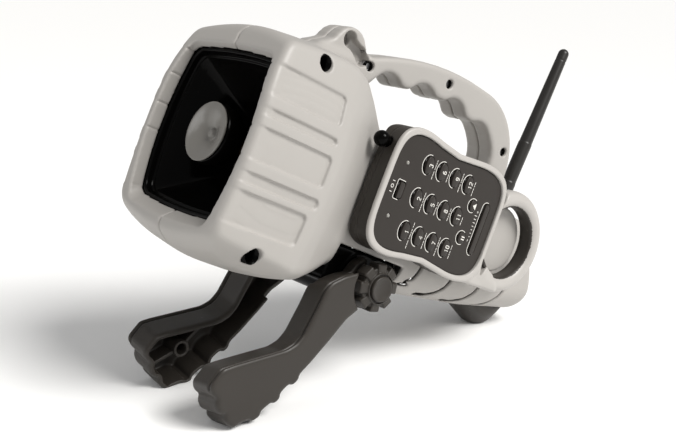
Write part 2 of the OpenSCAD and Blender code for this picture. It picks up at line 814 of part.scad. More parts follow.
board_x = key_foot - key_travel - 0.5;
module remote_board() {
    color([0.1, 0.35, 0.16]) in_body() {
        side_plate(board_x - 1.4, board_x) difference() {
            polygon(remote_pts(5.2));
            translate([remote_c[0], remote_c[1] + 22]) circle(r = 1.6, $fn = 24);
        }
        span_box([board_x - 2.6, 106, -16], [board_x - 1.2, 118, -8]);
    }
}
coin_r = 10;
module remote_cells() {
    color(steel) in_body() for (u = [112.5, 135.5])
        x_rod(remote_back + 2.4, remote_back + 5.6, u, remote_c[1], coin_r, 64);
}
module remote_door() {
    color(dark_grey) in_body() span_box([remote_back, 98.4, -7.6], [remote_back + 1.8, 149.6, 23.6]);
}
module remote_antenna() {
    color(gloss_black) in_body() translate([remote_back + 8, 76.5, 28]) rotate([-90, 0, 0]) {
        cylinder(h = 8, r = 2.5, $fn = 48);
        sphere(r = 4, $fn = 48);
    }
}
module remote_lamps() {
    color([0.85, 0.85, 0.82]) in_body() for (p = lamp_places)
        x_rod(face_x - face_t - 1, face_x + 0.1, p[0], p[1], 0.9, 24);
}
module remote_screws() {
    color(steel) in_body() for (p = remote_screw_places)
        x_rod(remote_back + 0.4, remote_back + 1.9, p[0], p[1], 1.6, 24);
}

body_shell_right();
body_shell_left();
case_screws();
horn_flare();
phase_plug();
driver_frame();
driver_diaphragm();
driver_magnet();
driver_cover();
main_board();
radio_module();
battery_tray();
battery_cells();
battery_door();
door_latch();
antenna_swivel();
antenna_whip();
rear_foot();
tripod_insert();
hip_saddle();
hip_bolts();
hip_washers();
leg_right();
leg_left();
knob_right();
knob_left();
remote_bezel();
remote_housing();
remote_face();
remote_board();
remote_cells();
remote_door();
remote_antenna();
remote_lamps();
remote_screws();
key_1();
key_2();
key_3();
key_4();
key_5();
key_6();
key_7();
key_8();
key_9();
key_10();
key_11();
key_12();
power_key();
play_key();
pause_key();
volume_rocker();
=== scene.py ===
"""Electronic game caller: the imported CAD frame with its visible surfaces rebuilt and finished.

The body is drawn in its own frame (x across, u to the rear, v up, in millimetres), which leans
nose-up in the row frame. Moulded shells are made as fields of signed distance, so that their
edges and joins are as soft as a mould leaves them, and the zero surface is turned into a mesh.
"""
import json
import math

import bpy
import numpy as np
from mathutils import Matrix, Vector


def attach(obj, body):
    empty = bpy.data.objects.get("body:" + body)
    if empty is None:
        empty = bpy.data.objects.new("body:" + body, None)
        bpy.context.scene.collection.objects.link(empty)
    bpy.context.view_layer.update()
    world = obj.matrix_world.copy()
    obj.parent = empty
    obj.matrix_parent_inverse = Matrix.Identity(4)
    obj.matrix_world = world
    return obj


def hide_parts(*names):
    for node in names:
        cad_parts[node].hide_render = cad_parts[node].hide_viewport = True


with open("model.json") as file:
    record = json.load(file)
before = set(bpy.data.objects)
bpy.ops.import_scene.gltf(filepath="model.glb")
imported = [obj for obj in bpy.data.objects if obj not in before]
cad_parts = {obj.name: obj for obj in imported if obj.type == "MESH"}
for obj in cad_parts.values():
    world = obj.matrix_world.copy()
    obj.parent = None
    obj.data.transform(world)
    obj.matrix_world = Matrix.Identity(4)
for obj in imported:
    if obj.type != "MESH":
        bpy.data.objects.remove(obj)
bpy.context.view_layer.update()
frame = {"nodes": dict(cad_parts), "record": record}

MM = 0.001

# ---------- frames ----------

TILT = math.radians(25.4)
HEAD_Z = 135.5
MOUTH_BACK = 120.4
BODY = Matrix.Translation((0, -MOUTH_BACK, HEAD_Z)) @ Matrix.Rotation(-TILT, 4, "X")
HIP_U, HIP_V = 108.0, -40.0
HIP = BODY @ Vector((0, HIP_U, HIP_V))
AT_HIP = Matrix.Translation(HIP)


# ---------- camera, lights and floor ----------

def make_camera():
    """The photograph's viewpoint, given from the ground point under the horn mouth's centre."""
    azimuth, elevation, roll = (math.radians(a) for a in (50.24, 14.83, 1.506))
    place = Vector((410.6, -255.4 - MOUTH_BACK, 220.8)) * MM
    back = Vector((math.sin(azimuth) * math.cos(elevation), -math.cos(azimuth) * math.cos(elevation),
                   math.sin(elevation)))
    data = bpy.data.cameras.new("camera")
    data.sensor_width = 36
    data.lens = 56.54
    data.clip_start, data.clip_end = 0.01, 50
    camera = bpy.data.objects.new("camera", data)
    bpy.context.scene.collection.objects.link(camera)
    turn = (-back).to_track_quat("-Z", "Y").to_matrix().to_4x4()
    camera.matrix_world = Matrix.Translation(place) @ turn @ Matrix.Rotation(roll, 4, "Z")
    bpy.context.scene.camera = camera


def area_light(name, place, target, size, power, colour=(1, 1, 1)):
    data = bpy.data.lights.new(name, "AREA")
    data.size = size
    data.energy = power
    data.color = colour
    light = bpy.data.objects.new(name, data)
    bpy.context.scene.collection.objects.link(light)
    aim = (Vector(target) - Vector(place)).to_track_quat("-Z", "Y").to_matrix().to_4x4()
    light.matrix_world = Matrix.Translation(place) @ aim


def make_studio():
    middle = (0, 0, 0.09)
    sun = bpy.data.lights.new("sun", "SUN")
    sun.energy = 3.0
    sun.angle = math.radians(30)
    sun.color = (1, 0.985, 0.96)
    light = bpy.data.objects.new("sun", sun)
    bpy.context.scene.collection.objects.link(light)
    aim = Vector((-0.75, -0.25, -0.80)).to_track_quat("-Z", "Y").to_matrix().to_4x4()
    light.matrix_world = Matrix.Translation((1, 0, 1)) @ aim
    area_light("strip_light", (0.9, 0.3, 0.9), middle, 0.25, 4)
    area_light("front_light", (-0.5, -1.1, 0.5), middle, 0.5, 2)
    scene = bpy.context.scene
    scene.view_settings.view_transform = "Standard"
    world = bpy.data.worlds.new("studio")
    scene.world = world
    world.use_nodes = True
    world.node_tree.nodes["Background"].inputs["Color"].default_value = (1, 1, 1, 1)
    world.node_tree.nodes["Background"].inputs["Strength"].default_value = 0.38
    mesh = bpy.data.meshes.new("floor")
    reach = 6
    mesh.from_pydata([(-reach, -reach, 0), (reach, -reach, 0), (reach, reach, 0), (-reach, reach, 0)], [],
                     [(0, 1, 2, 3)])
    floor = bpy.data.objects.new("floor", mesh)
    bpy.context.scene.collection.objects.link(floor)
    floor.location.z = -0.0002
    pale = bpy.data.materials.new("pale_floor")
    pale.use_nodes = True
    shader = pale.node_tree.nodes["Principled BSDF"]
    shader.inputs["Base Color"].default_value = (0.97, 0.97, 0.965, 1)
    shader.inputs["Roughness"].default_value = 0.8
    mesh.materials.append(pale)


# ---------- materials ----------

# Sockets of a colour mix node
MIX_FACTOR, MIX_A, MIX_B, MIX_RESULT = 0, 6, 7, 2


def node(tree, kind, **values):
    made = tree.nodes.new(kind)
    for key, value in values.items():
        if key in made.inputs:
            made.inputs[key].default_value = value
        else:
            setattr(made, key, value)
    return made


def moulded(name, colour, roughness, vary=0.06, grain=0.05, grain_mm=0.35, coat=0.0, metallic=0.0,
            wear=0.0, specular=0.5):
    """A moulded or machined surface: mottled colour, uneven gloss, fine grain and rubbed edges."""
    made = bpy.data.materials.new(name)
    made.use_nodes = True
    tree = made.node_tree
    link = tree.links.new
    shader = tree.nodes["Principled BSDF"]
    shader.inputs["Metallic"].default_value = metallic
    shader.inputs["Coat Weight"].default_value = coat
    shader.inputs["Specular IOR Level"].default_value = specular
    where = node(tree, "ShaderNodeTexCoord")
    mottle = node(tree, "ShaderNodeTexNoise", Scale=28.0, Detail=4.0, Roughness=0.6)
    link(where.outputs["Object"], mottle.inputs["Vector"])
    tint = node(tree, "ShaderNodeMix", data_type="RGBA")
    tint.inputs[MIX_A].default_value = tuple(c * (1 - vary) for c in colour) + (1,)
    tint.inputs[MIX_B].default_value = tuple(min(c * (1 + vary), 1) for c in colour) + (1,)
    link(mottle.outputs["Fac"], tint.inputs[MIX_FACTOR])
    base = tint.outputs[MIX_RESULT]
    if wear > 0:
        edge = node(tree, "ShaderNodeNewGeometry")
        rub = node(tree, "ShaderNodeMapRange")
        rub.inputs["From Min"].default_value = 0.53
        rub.inputs["From Max"].default_value = 0.62
        rub.inputs["To Max"].default_value = wear
        link(edge.outputs["Pointiness"], rub.inputs["Value"])
        worn = node(tree, "ShaderNodeMix", data_type="RGBA")
        worn.inputs[MIX_B].default_value = tuple(min(c * 1.7 + 0.05, 1) for c in colour) + (1,)
        link(rub.outputs["Result"], worn.inputs[MIX_FACTOR])
        link(base, worn.inputs[MIX_A])
        base = worn.outputs[MIX_RESULT]
    link(base, shader.inputs["Base Color"])
    smudge = node(tree, "ShaderNodeTexNoise", Scale=90.0, Detail=5.0, Roughness=0.65)
    link(where.outputs["Object"], smudge.inputs["Vector"])
    gloss = node(tree, "ShaderNodeMapRange")
    gloss.inputs["To Min"].default_value = max(roughness - 0.08, 0.02)
    gloss.inputs["To Max"].default_value = min(roughness + 0.1, 1)
    link(smudge.outputs["Fac"], gloss.inputs["Value"])
    link(gloss.outputs["Result"], shader.inputs["Roughness"])
    pits = node(tree, "ShaderNodeTexNoise", Scale=1 / (grain_mm * MM), Detail=2.0, Roughness=0.5)
    link(where.outputs["Object"], pits.inputs["Vector"])
    bump = node(tree, "ShaderNodeBump", Strength=grain, Distance=0.0002)
    link(pits.outputs["Fac"], bump.inputs["Height"])
    link(bump.outputs["Normal"], shader.inputs["Normal"])
    return made


def brushed(name, colour, roughness):
    """Metal with fine scratches that run round it."""
    made = moulded(name, colour, roughness, vary=0.04, grain=0.08, grain_mm=0.2, metallic=1.0)
    tree = made.node_tree
    pits = next(n for n in tree.nodes if n.type == "BUMP").inputs["Height"].links[0].from_node
    stretch = node(tree, "ShaderNodeMapping")
    stretch.inputs["Scale"].default_value = (0.08, 1, 1)
    where = next(n for n in tree.nodes if n.type == "TEX_COORD")
    tree.links.new(where.outputs["Object"], stretch.inputs["Vector"])
    tree.links.new(stretch.outputs["Vector"], pits.inputs["Vector"])
    return made


MATERIALS = {
    "case_grey": moulded("case_grey", (0.36, 0.343, 0.322), 0.46, vary=0.03, grain=0.10, grain_mm=0.5),
    "rim_grey": moulded("rim_grey", (0.40, 0.382, 0.36), 0.42, vary=0.03, grain=0.06, grain_mm=0.4),
    "dark_plastic": moulded("dark_plastic", (0.030, 0.026, 0.022), 0.40, vary=0.1, grain=0.12,
                            grain_mm=0.4, wear=0.35, specular=0.3),
    "face_film": moulded("face_film", (0.020, 0.016, 0.013), 0.38, vary=0.08, grain=0.04,
                         grain_mm=0.3, specular=0.3),
    "key_rubber": moulded("key_rubber", (0.024, 0.020, 0.017), 0.36, vary=0.1, grain=0.06,
                          grain_mm=0.25, specular=0.3),
    "gloss_black": moulded("gloss_black", (0.0015, 0.0014, 0.0013), 0.16, vary=0.2, grain=0.02,
                           specular=0.06),
    "antenna_black": moulded("antenna_black", (0.017, 0.0155, 0.014), 0.38, vary=0.15, grain=0.08,
                             specular=0.35),
    "steel": brushed("steel", (0.55, 0.55, 0.56), 0.32),
    "brass": brushed("brass", (0.70, 0.50, 0.22), 0.3),
    "plug_grey": moulded("plug_grey", (0.17, 0.162, 0.148), 0.22, vary=0.04, grain=0.04),
    "board_green": moulded("board_green", (0.02, 0.13, 0.05), 0.3, vary=0.15),
    "board_blue": moulded("board_blue", (0.02, 0.04, 0.16), 0.3, vary=0.15),
    "cell_wrap": moulded("cell_wrap", (0.03, 0.12, 0.05), 0.3, vary=0.1),
    "ferrite": moulded("ferrite", (0.05, 0.05, 0.055), 0.6, vary=0.2, grain=0.2),
    "diaphragm": moulded("diaphragm", (0.5, 0.3, 0.1), 0.35, vary=0.1),
    "lamp_lens": moulded("lamp_lens", (0.24, 0.23, 0.21), 0.2, vary=0.02, grain=0.01, coat=0.5),
    "print_white": moulded("print_white", (0.66, 0.64, 0.60), 0.5, vary=0.03, grain=0.03),
}
SLOT_OF = {row["node"]: row["material_slot"] for row in frame["record"]["subparts"]}


def dress_cad_nodes():
    for name, obj in frame["nodes"].items():
        obj.data.materials.clear()
        obj.data.materials.append(MATERIALS[SLOT_OF[name]])


# ---------- meshes ----------

def add_piece(name, points, faces, slot, body, replaces=(), place=BODY, smooth=True):
    """A piece from points in millimetres in a frame, riding on a CAD body."""
    mesh = bpy.data.meshes.new(name)
    turn = np.array(place)[:3, :3]
    shift = np.array(place)[:3, 3]
    points = (np.asarray(points, float) @ turn.T + shift) * MM
    faces = faces.tolist() if isinstance(faces, np.ndarray) else faces
    mesh.from_pydata(points.tolist(), [], faces)
    mesh.validate()
    if smooth:
        mesh.polygons.foreach_set("use_smooth", [True] * len(mesh.polygons))
    mesh.materials.append(MATERIALS[slot])
    piece = bpy.data.objects.new(name, mesh)
    bpy.context.scene.collection.objects.link(piece)
    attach(piece, body)
    if replaces:
        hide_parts(*replaces)
    return piece


def grid(low, high, step):
    """Sample places along the three axes of a box, each shaped to broadcast with the others."""
    axes = [np.arange(a, b + step, step, dtype=np.float32) for a, b in zip(low, high)]
    return axes[0][:, None, None], axes[1][None, :, None], axes[2][None, None, :]


def surface(field, low, step):
    """The zero surface of a sampled field: one vertex in each crossed cell, and quads between them."""
    inside = field < 0
    cells = np.array(field.shape) - 1
    spots, corners, quads = [], [], []
    for axis in range(3):
        first = [slice(None)] * 3
        last = [slice(None)] * 3
        first[axis] = slice(None, -1)
        last[axis] = slice(1, None)
        starts = inside[tuple(first)]
        at = np.argwhere(starts != inside[tuple(last)])
        a = field[tuple(first)][tuple(at.T)]
        b = field[tuple(last)][tuple(at.T)]
        place = at.astype(np.float64)
        place[:, axis] += a / (a - b)
        one, two = (axis + 1) % 3, (axis + 2) % 3
        ring = []
        for back_one, back_two in ((1, 1), (0, 1), (0, 0), (1, 0)):
            cell = at.copy()
            cell[:, one] -= back_one
            cell[:, two] -= back_two
            ring.append(cell)
        ring = np.stack(ring, 1)
        good = ((ring >= 0) & (ring < cells)).all((1, 2))
        ring, place = ring[good], place[good]
        ids = np.ravel_multi_index(ring.reshape(-1, 3).T, cells).reshape(-1, 4)
        facing = starts[tuple(at[good].T)]
        ids[~facing] = ids[~facing][:, ::-1]
        quads.append(ids)
        corners.append(ids.ravel())
        spots.append(np.repeat(place, 4, 0))
    names, numbers = np.unique(np.concatenate(corners), return_inverse=True)
    spots = np.concatenate(spots)
    counts = np.bincount(numbers)
    points = np.stack([np.bincount(numbers, spots[:, k]) / counts for k in range(3)], 1)
    faces = np.searchsorted(names, np.concatenate(quads))
    return points * step + np.array(low), faces


# ---------- fields of distance ----------

def soft_union(a, b, r):
    """Both solids, with a fillet of about r where they meet."""
    h = np.maximum(r - np.abs(a - b), 0) / r
    return np.minimum(a, b) - h * h * r / 4


def soft_both(a, b, r):
    """What the two solids share, with an edge rounded by about r."""
    return -soft_union(-a, -b, r)


def cut(a, b, r=0.4):
    """a less b, with the new edge rounded by about r."""
    return soft_both(a, -b, r)


def step_up(x):
    """0 below 0, 1 above 1 and smooth between."""
    x = np.clip(x, 0, 1)
    return x * x * (3 - 2 * x)


def rounded_box(p, q, half_p, half_q, r):
    """A 2-D rounded rectangle about the origin."""
    a, b = np.abs(p) - half_p + r, np.abs(q) - half_q + r
    return np.hypot(np.maximum(a, 0), np.maximum(b, 0)) + np.minimum(np.maximum(a, b), 0) - r


def outline_distance(points, p, q):
    """Signed distance to a closed outline of straight runs, negative inside."""
    p, q = np.broadcast_arrays(p, q)
    best = np.full(p.shape, np.inf)
    inside = np.zeros(p.shape, bool)
    for (ax, ay), (bx, by) in zip(points, points[1:] + points[:1]):
        ex, ey = bx - ax, by - ay
        along = np.clip(((p - ax) * ex + (q - ay) * ey) / (ex * ex + ey * ey), 0, 1)
        best = np.minimum(best, (p - ax - along * ex) ** 2 + (q - ay - along * ey) ** 2)
        if ay != by:
            inside ^= ((ay > q) != (by > q)) & (p < ex * (q - ay) / ey + ax)
    return (np.where(inside, -1, 1) * np.sqrt(best)).astype(np.float32)


def line_distance(points, p, q):
    """Distance to an open line of straight runs."""
    best = np.full(np.broadcast_shapes(p.shape, q.shape), np.inf, np.float32)
    for (ax, ay), (bx, by) in zip(points, points[1:]):
        ex, ey = bx - ax, by - ay
        along = np.clip(((p - ax) * ex + (q - ay) * ey) / (ex * ex + ey * ey), 0, 1)
        best = np.minimum(best, np.hypot(p - ax - along * ex, q - ay - along * ey))
    return best


def arc(centre, radius, start, end, count):
    """Points on an arc, with its angles in degrees."""
    return [(centre[0] + radius * math.cos(math.radians(a)), centre[1] + radius * math.sin(math.radians(a)))
            for a in np.linspace(start, end, count + 1)]


# ---------- case ----------

# Head sections: distance behind the mouth, half width, top, depth below the centre line
HEAD_STATIONS = np.array([
    (0, 45.6, 52.4, 49.0), (8, 46.2, 54.0, 54.0), (22, 46.6, 56.2, 57.2), (40, 46.6, 57.8, 57.4),
    (50, 45.6, 57.4, 56.4), (60, 41.6, 54.6, 54.0), (72, 35.0, 47.0, 47.6), (84, 28.5, 38.0, 39.6),
    (96, 25.0, 27.0, 36.0),
])
SIDE_BOW_UP, SIDE_BOW_DOWN = 0.0033, 0.0018
TOP_BOW = 0.0036
# Side panels: lowest v, highest v, rear end
SIDE_PANELS = [(22.7, 36.7, 44), (13.4, 17, 45), (-6.6, 8.2, 45.3), (-17, -12, 47), (-35.5, -20.5, 43.7)]
PANEL_DEPTH = 1.5
MOUTH = (39.5, 44.4, 43.9)
MOUTH_BOW = 0.0040
LIP_DEPTH = 6.5
LIP_LINES = (36, 22.6, 7.2, -5.9, -34.4)
BODY_HW = 28.0
CASE_STEP = 0.7
CASE_WALL = 2.4

# Screws that join the case halves: u, v, depth of the head's seat from the centre plane, hole radius
# and the side that the screw enters from
SCREW_PLACES = [(27.3, 46.5, 12, 3.9, 1), (25.8, -45.9, 12, 4.1, 1), (77, 62, 5, 2.5, 1),
                (134, 75, 5, 2.5, 1), (194, 57, 5, 2.5, 1), (236, -14, 14, 3.2, -1)]
RING_C = (184.0, 7.0)
DOCK_POST_R = 18.3
DOOR_MID, DOOR_HALF = (183, 1.5), (49, 15.5)
ANTENNA_U, ANTENNA_V = 219, 36


def stations(u, column, table=HEAD_STATIONS):
    """A smooth curve through one column of a table, sampled at u."""
    fine = np.linspace(table[0, 0], table[-1, 0], 200)
    rough = np.interp(fine, table[:, 0], table[:, column])
    soft = np.convolve(np.pad(rough, 9, "edge"), np.hanning(19) / np.hanning(19).sum(), "valid")
    return np.interp(u, fine, soft).astype(np.float32)


def head_field(x, u, v, inset=0.0, panels=True):
    ax = np.abs(x)
    bow = np.where(v > 0, SIDE_BOW_UP, SIDE_BOW_DOWN).astype(np.float32)
    side = ax - (stations(u, 1) - bow * v * v) + inset
    if panels:
        deep = PANEL_DEPTH * (0.3 + 0.7 * step_up((u - 1) / 7))
        for low, high, end in SIDE_PANELS:
            area = rounded_box(u - end + 30, v - (low + high) / 2, 30, (high - low) / 2, 2.6)
            side = side + deep * (1 - step_up(area / 0.6 + 0.5))
    top = v - (stations(u, 2) - TOP_BOW * x * x) + inset
    low = -v - (stations(u, 3) - TOP_BOW * x * x) + inset
    low_slope = ax * 0.69 - v * 0.724 - (60.4 + 0.055 * u) + inset
    top_slope = ax * 0.80 + v * 0.60 - (62.6 + 0.02 * u) + inset
    made = soft_both(side, top, 3)
    made = soft_both(made, low, 6)
    made = soft_both(made, low_slope, 1.6)
    made = soft_both(made, top_slope, 4)
    set_back = 5.0 * np.clip((v - 18) / 30, 0, 1.3) ** 2
    front = -(u - set_back) + inset
    return soft_both(soft_both(made, front, 4.0), u - 98, 4)


def body_field(x, u, v, inset=0.0):
    """The rounded box behind the head, narrowing to the tail."""
    table = np.array([(60, 27, 27, -38), (76, 28, 27, -40), (147, 28, 27, -40.5), (200, 26.4, 25.4, -34),
                      (240, 24.4, 24, -26.5), (252, 24, 23.5, -24)])
    width = stations(u, 1, table)
    top = stations(u, 2, table)
    low = stations(u, 3, table)
    middle, half = (top + low) / 2, (top - low) / 2
    r = np.where(v > middle, 8, 16).astype(np.float32)
    made = rounded_box(x, v - middle, width, half, r) + inset
    tail = (u - 246.5) + 0.05 * (v - 5) + inset
    slant = (u - 224) * 0.806 + (v - 24) * 0.591 + inset
    nose = 60 - u
    return soft_both(soft_both(soft_both(made, tail, 9), slant, 8), nose, 1)


GRIP_HW = 10.5
FINGERS = [(94, 53.2), (119.5, 57.2), (144.3, 58.6), (168.6, 54.4)]
FINGER_R = 11


def grip_field(x, u, v, inset=0.0):
    """The handle: a bowed bar with finger grooves, growing out of the head's top and the tail."""
    outer = ([(20, 46), (30, 53.5), (48, 61)] + arc((150, -90), 173, 118, 87, 10)
             + arc((165, 44), 38.5, 84, 0, 14))
    inner = ([(204, 16), (186, 16), (186.5, 40)] + arc((170, 46), 16.5, -10, 60, 5)
             + [(158, 63.4), (132, 65.4), (107, 61.4), (84, 56.6), (74, 50), (68, 30), (40, 30)])
    flat = outline_distance(outer + inner, u[0], v[0])
    for fu, fv in FINGERS:
        flat = soft_both(flat, FINGER_R - np.hypot(u[0] - fu, v[0] - fv), 2.5)
    flat = flat[None] + inset
    return soft_both(flat, np.abs(x) - GRIP_HW + inset, 3.2)


def loop_field(x, u, v):
    """The bump with the lanyard hole at the front of the handle."""
    outline = arc((62.5, 65.2), 10.8, 178, 30, 8) + [(80, 62), (80, 50), (44, 50), (46, 60)]
    flat = outline_distance(outline, u[0], v[0])
    ramp = outline_distance([(36, 50), (44, 61.5), (54, 66), (54, 50)], u[0], v[0])
    flat = soft_union(flat, ramp, 5)[None]
    return soft_both(flat, np.abs(x) - 8.5, 2.4)


def case_field(x, u, v):
    """The whole case before it is split into halves."""
    outer = soft_union(head_field(x, u, v), body_field(x, u, v), 5)
    grip = soft_union(grip_field(x, u, v), loop_field(x, u, v), 3)
    hollow = np.minimum(head_field(x, u, v, CASE_WALL, False), body_field(x, u, v, CASE_WALL))
    hollow = np.maximum(hollow, LIP_DEPTH + 0.5 - u)
    made = soft_union(outer, grip, 4.5)
    # The dock's post on the right, and the bay round the battery door on the left
    post = np.maximum(np.hypot(u - RING_C[0], v - RING_C[1]) - DOCK_POST_R, np.maximum(24 - x, x - 35.5))
    post = np.maximum(post, np.where(x > 28.6, 169.6 - u, -5))
    made = soft_union(made, post, 1.2)
    bay = rounded_box(u - DOOR_MID[0], v - DOOR_MID[1], DOOR_HALF[0] + 3, DOOR_HALF[1] + 3, 3)
    made = soft_union(made, np.maximum(bay, np.maximum(-x - BODY_HW, x + 20)), 1.0)
    made = cut(made, hollow, 0.5)
    # Bosses round the screws
    for su, sv, depth, _, _ in SCREW_PLACES[:2] + SCREW_PLACES[5:]:
        boss = np.maximum(np.hypot(u - su, v - sv) - 5.6, np.abs(x) - depth - 30)
        inner_form = np.minimum(head_field(x, u, v, 0.6, False), body_field(x, u, v, 0.6))
        made = np.minimum(made, np.maximum(boss, inner_form))
    return made


def case_cuts(made, x, u, v):
    notches = sum(np.exp(-((v - line) / 0.35) ** 2) for line in LIP_LINES) * (np.abs(x) > 20)
    made = cut(made, np.maximum(mouth_field(x, u, v) - 0.7 * notches, u - LIP_DEPTH - 1), 0.4)
    # Pocket for the hip saddle, and the floor over it
    pocket = np.maximum(np.abs(u - HIP_U + 0.2) - 24, v + 25.8)
    made = cut(made, pocket, 0.8)
    # Keyhole for the lanyard: a hole through the bump and a recess beside it
    hole = np.hypot(u - 60.4, (v - 69.4) / 1.05) - 3.9
    made = cut(made, hole, 0.8)
    slot = line_distance([(61, 69), (70, 65)], u, v) - 3.0
    recess = soft_union(np.hypot(u - 70.4, v - 64.2) - 4.6, slot, 2)
    made = cut(made, np.maximum(recess, 3.0 - np.abs(x)), 0.8)
    # Battery opening on the left
    door = rounded_box(u - DOOR_MID[0], v - DOOR_MID[1], DOOR_HALF[0], DOOR_HALF[1], 1)
    made = cut(made, np.maximum(door, x + 18), 0.5)
    # Screw tunnels, and the narrower holes for the screws below their seats
    for su, sv, depth, radius, side in SCREW_PLACES:
        away = np.hypot(u - su, v - sv)
        made = cut(made, np.maximum(away - radius, depth - side * x), 0.7)
        made = cut(made, np.maximum(away - 1.6, np.abs(x) - depth), 0.3)
    # Antenna socket
    made = cut(made, np.maximum(np.hypot(x, u - ANTENNA_U) - 4.9, 12 - v), 0.5)
    # Scales along the tail's sides and belly: each groove drops from under the remote and
    # curves forward along the belly
    for rear, high, fore, low in ((144.3, -25, 140.2, -34), (171.1, -24, 159.4, -35.8),
                                  (196.3, -21, 182.8, -34.6), (219.2, -18, 206.9, -32.1)):
        bend = [(rear + 2, high + 12), (rear + 0.6, high + 2), (rear - 1.4, high - 4),
                (rear - 5, (high + low) / 2 - 2.6), (fore + 2, low + 0.4), (fore - 5, low - 0.8)]
        near = line_distance(bend, u, v)
        made = made + 2.2 * np.exp(-(near / 0.8) ** 2) * (np.abs(x) > 12) * step_up((u - 134) / 5)
    return made


def make_case():
    low, high = (-48.3, -2.1, -62), (48.3, 250, 86)
    x, u, v = grid(low, high, CASE_STEP)
    made = case_cuts(case_field(x, u, v), x, u, v).astype(np.float32)
    seam = -1.6 * np.clip(1 - np.abs(v - 48.5) / 3.5, 0, 1) * (u < 7)
    made = made + 0.7 * np.exp(-((x - seam) / 0.5) ** 2)
    for name, side in (("right", 1), ("left", -1)):
        half = soft_both(made, -side * (x - seam) + 0.06, 0.3)
        points, faces = surface(half.astype(np.float32), low, CASE_STEP)
        add_piece("case_" + name, points, faces, "case_grey", "body", ["body_shell_" + name])


def make_screw_wells():
    """Black sleeves that line the screw tunnels to just below the case's surface: painted shade that makes
    the holes read dark.
    """
    t = np.linspace(0, 2 * np.pi, 32, endpoint=False)
    for k, (su, sv, depth, radius, side) in enumerate(SCREW_PLACES):
        x = np.arange(50, depth, -0.25)[:, None, None]
        skin = case_field(side * x, np.full((1, 1, 1), su), np.full((1, 1, 1), sv))[:, 0, 0] < 0
        top = x[skin.argmax(), 0, 0] - 1.2
        outside, inside = radius - 0.05, radius - 0.4
        rings = [np.column_stack([np.full(t.shape, side * place), su + r * np.cos(t),
                                  sv + side * r * np.sin(t)])
                 for r, place in ((outside, depth), (outside, top), (inside, top), (inside, depth))]
        points, faces = loft(rings, closed=True)
        # Gloss black sleeve: painted shade inside the screw hole
        add_piece("screw_shade_sleeve_%d" % (k + 1), points, faces, "gloss_black", "body")


# ---------- horn and plug ----------

THROAT_U, THROAT_R = 58.6, 10.4
HORN_WALL = 1.6


def mouth_field(x, u, v):
    """The horn's mouth: its side walls run straight in, its top and bottom walls lean inwards."""
    side = np.abs(x) - (MOUTH[0] - MOUTH_BOW * v * v)
    top = v - (MOUTH[1] - 0.62 * np.maximum(u, 0) - 0.0018 * x * x)
    low = -v - (MOUTH[2] - 0.80 * np.maximum(u, 0) - 0.0018 * x * x)
    return soft_both(soft_both(side, top, 5), low, 5)


def mouth_ring(angles, inset):
    """The mouth's outline at the lip, moved inwards, as radii at some angles."""
    near, far = np.full(angles.shape, 20.0), np.full(angles.shape, 70.0)
    for _ in range(30):
        middle = (near + far) / 2
        outside = mouth_field(middle * np.cos(angles), LIP_DEPTH, middle * np.sin(angles)) > -inset
        near, far = np.where(outside, near, middle), np.where(outside, middle, far)
    return near


def loft(rings, closed=False):
    """Quads between rings that all have the same number of points; ends are capped unless it closes."""
    count = len(rings[0])
    i = np.arange(count)
    j = (i + 1) % count
    faces = []
    for k in range(len(rings) if closed else len(rings) - 1):
        a, b = k * count, (k + 1) % len(rings) * count
        faces += np.stack([a + i, a + j, b + j, b + i], 1).tolist()
    if not closed:
        last = (len(rings) - 1) * count
        faces += [list(range(count))[::-1], list(range(last, last + count))]
    return np.concatenate(rings), faces


def lathe(profile, axis_u=True, count=96):
    """A profile of (radius, place) turned about the u axis, or about the third axis."""
    t = np.linspace(0, 2 * np.pi, count, endpoint=False)
    rings = []
    for radius, place in profile:
        flat = np.full(count, float(place))
        x, y = radius * np.cos(t), radius * np.sin(t)
        rings.append(np.stack([x, flat, y] if axis_u else [x, y, flat], 1))
    return loft(rings)


def smooth_line(points, steps=6):
    """A curve through points (Catmull-Rom), for profiles that should have no corners."""
    p = np.array([points[0]] + list(points) + [points[-1]], float)
    out = []
    for k in range(1, len(p) - 2):
        for s in np.arange(steps) / steps:
            out.append(0.5 * (2 * p[k] + (p[k + 1] - p[k - 1]) * s
                              + (2 * p[k - 1] - 5 * p[k] + 4 * p[k + 1] - p[k + 2]) * s * s
                              + (3 * p[k] - p[k - 1] - 3 * p[k + 1] + p[k + 2]) * s ** 3))
    return out + [p[-2]]


def make_horn():
    """The flare, from a flange behind the rim, over a beaded lip, down to the throat."""
    t = np.linspace(0, 2 * np.pi, 240, endpoint=False)
    lip = [(7.15, -1.6), (7.15, 0.3), (6.9, 0.8), (6.75, 1.2), (6.95, 1.6), (7.6, 1.9), (9.2, 2.1),
           (10.6, 2.3), (11.2, 2.9), (11.0, 3.3), (11.3, 3.8), (12.6, 4.3)]
    rings = [(u, mouth_ring(t, inset)) for u, inset in lip]
    edge = mouth_ring(t, 4.6)
    flare = [(14, 0.05), (18, 0.17), (24, 0.36), (32, 0.56), (44, 0.80), (THROAT_U, 1.0)]
    for u, w in smooth_line(flare, 4):
        rings.append((u, edge * (1 - w) + THROAT_R * w))
    made = [np.stack([r * np.cos(t), np.full(t.shape, u), r * np.sin(t)], 1) for u, r in rings]
    rings = [(min(u + 1.4, THROAT_U), r + HORN_WALL) for u, r in rings[:1:-1]]
    back = [np.stack([r * np.cos(t), np.full(t.shape, u), r * np.sin(t)], 1) for u, r in rings]
    points, faces = loft(made + back, closed=True)
    add_piece("horn_inside", points, faces, "gloss_black", "body", ["horn_flare"])


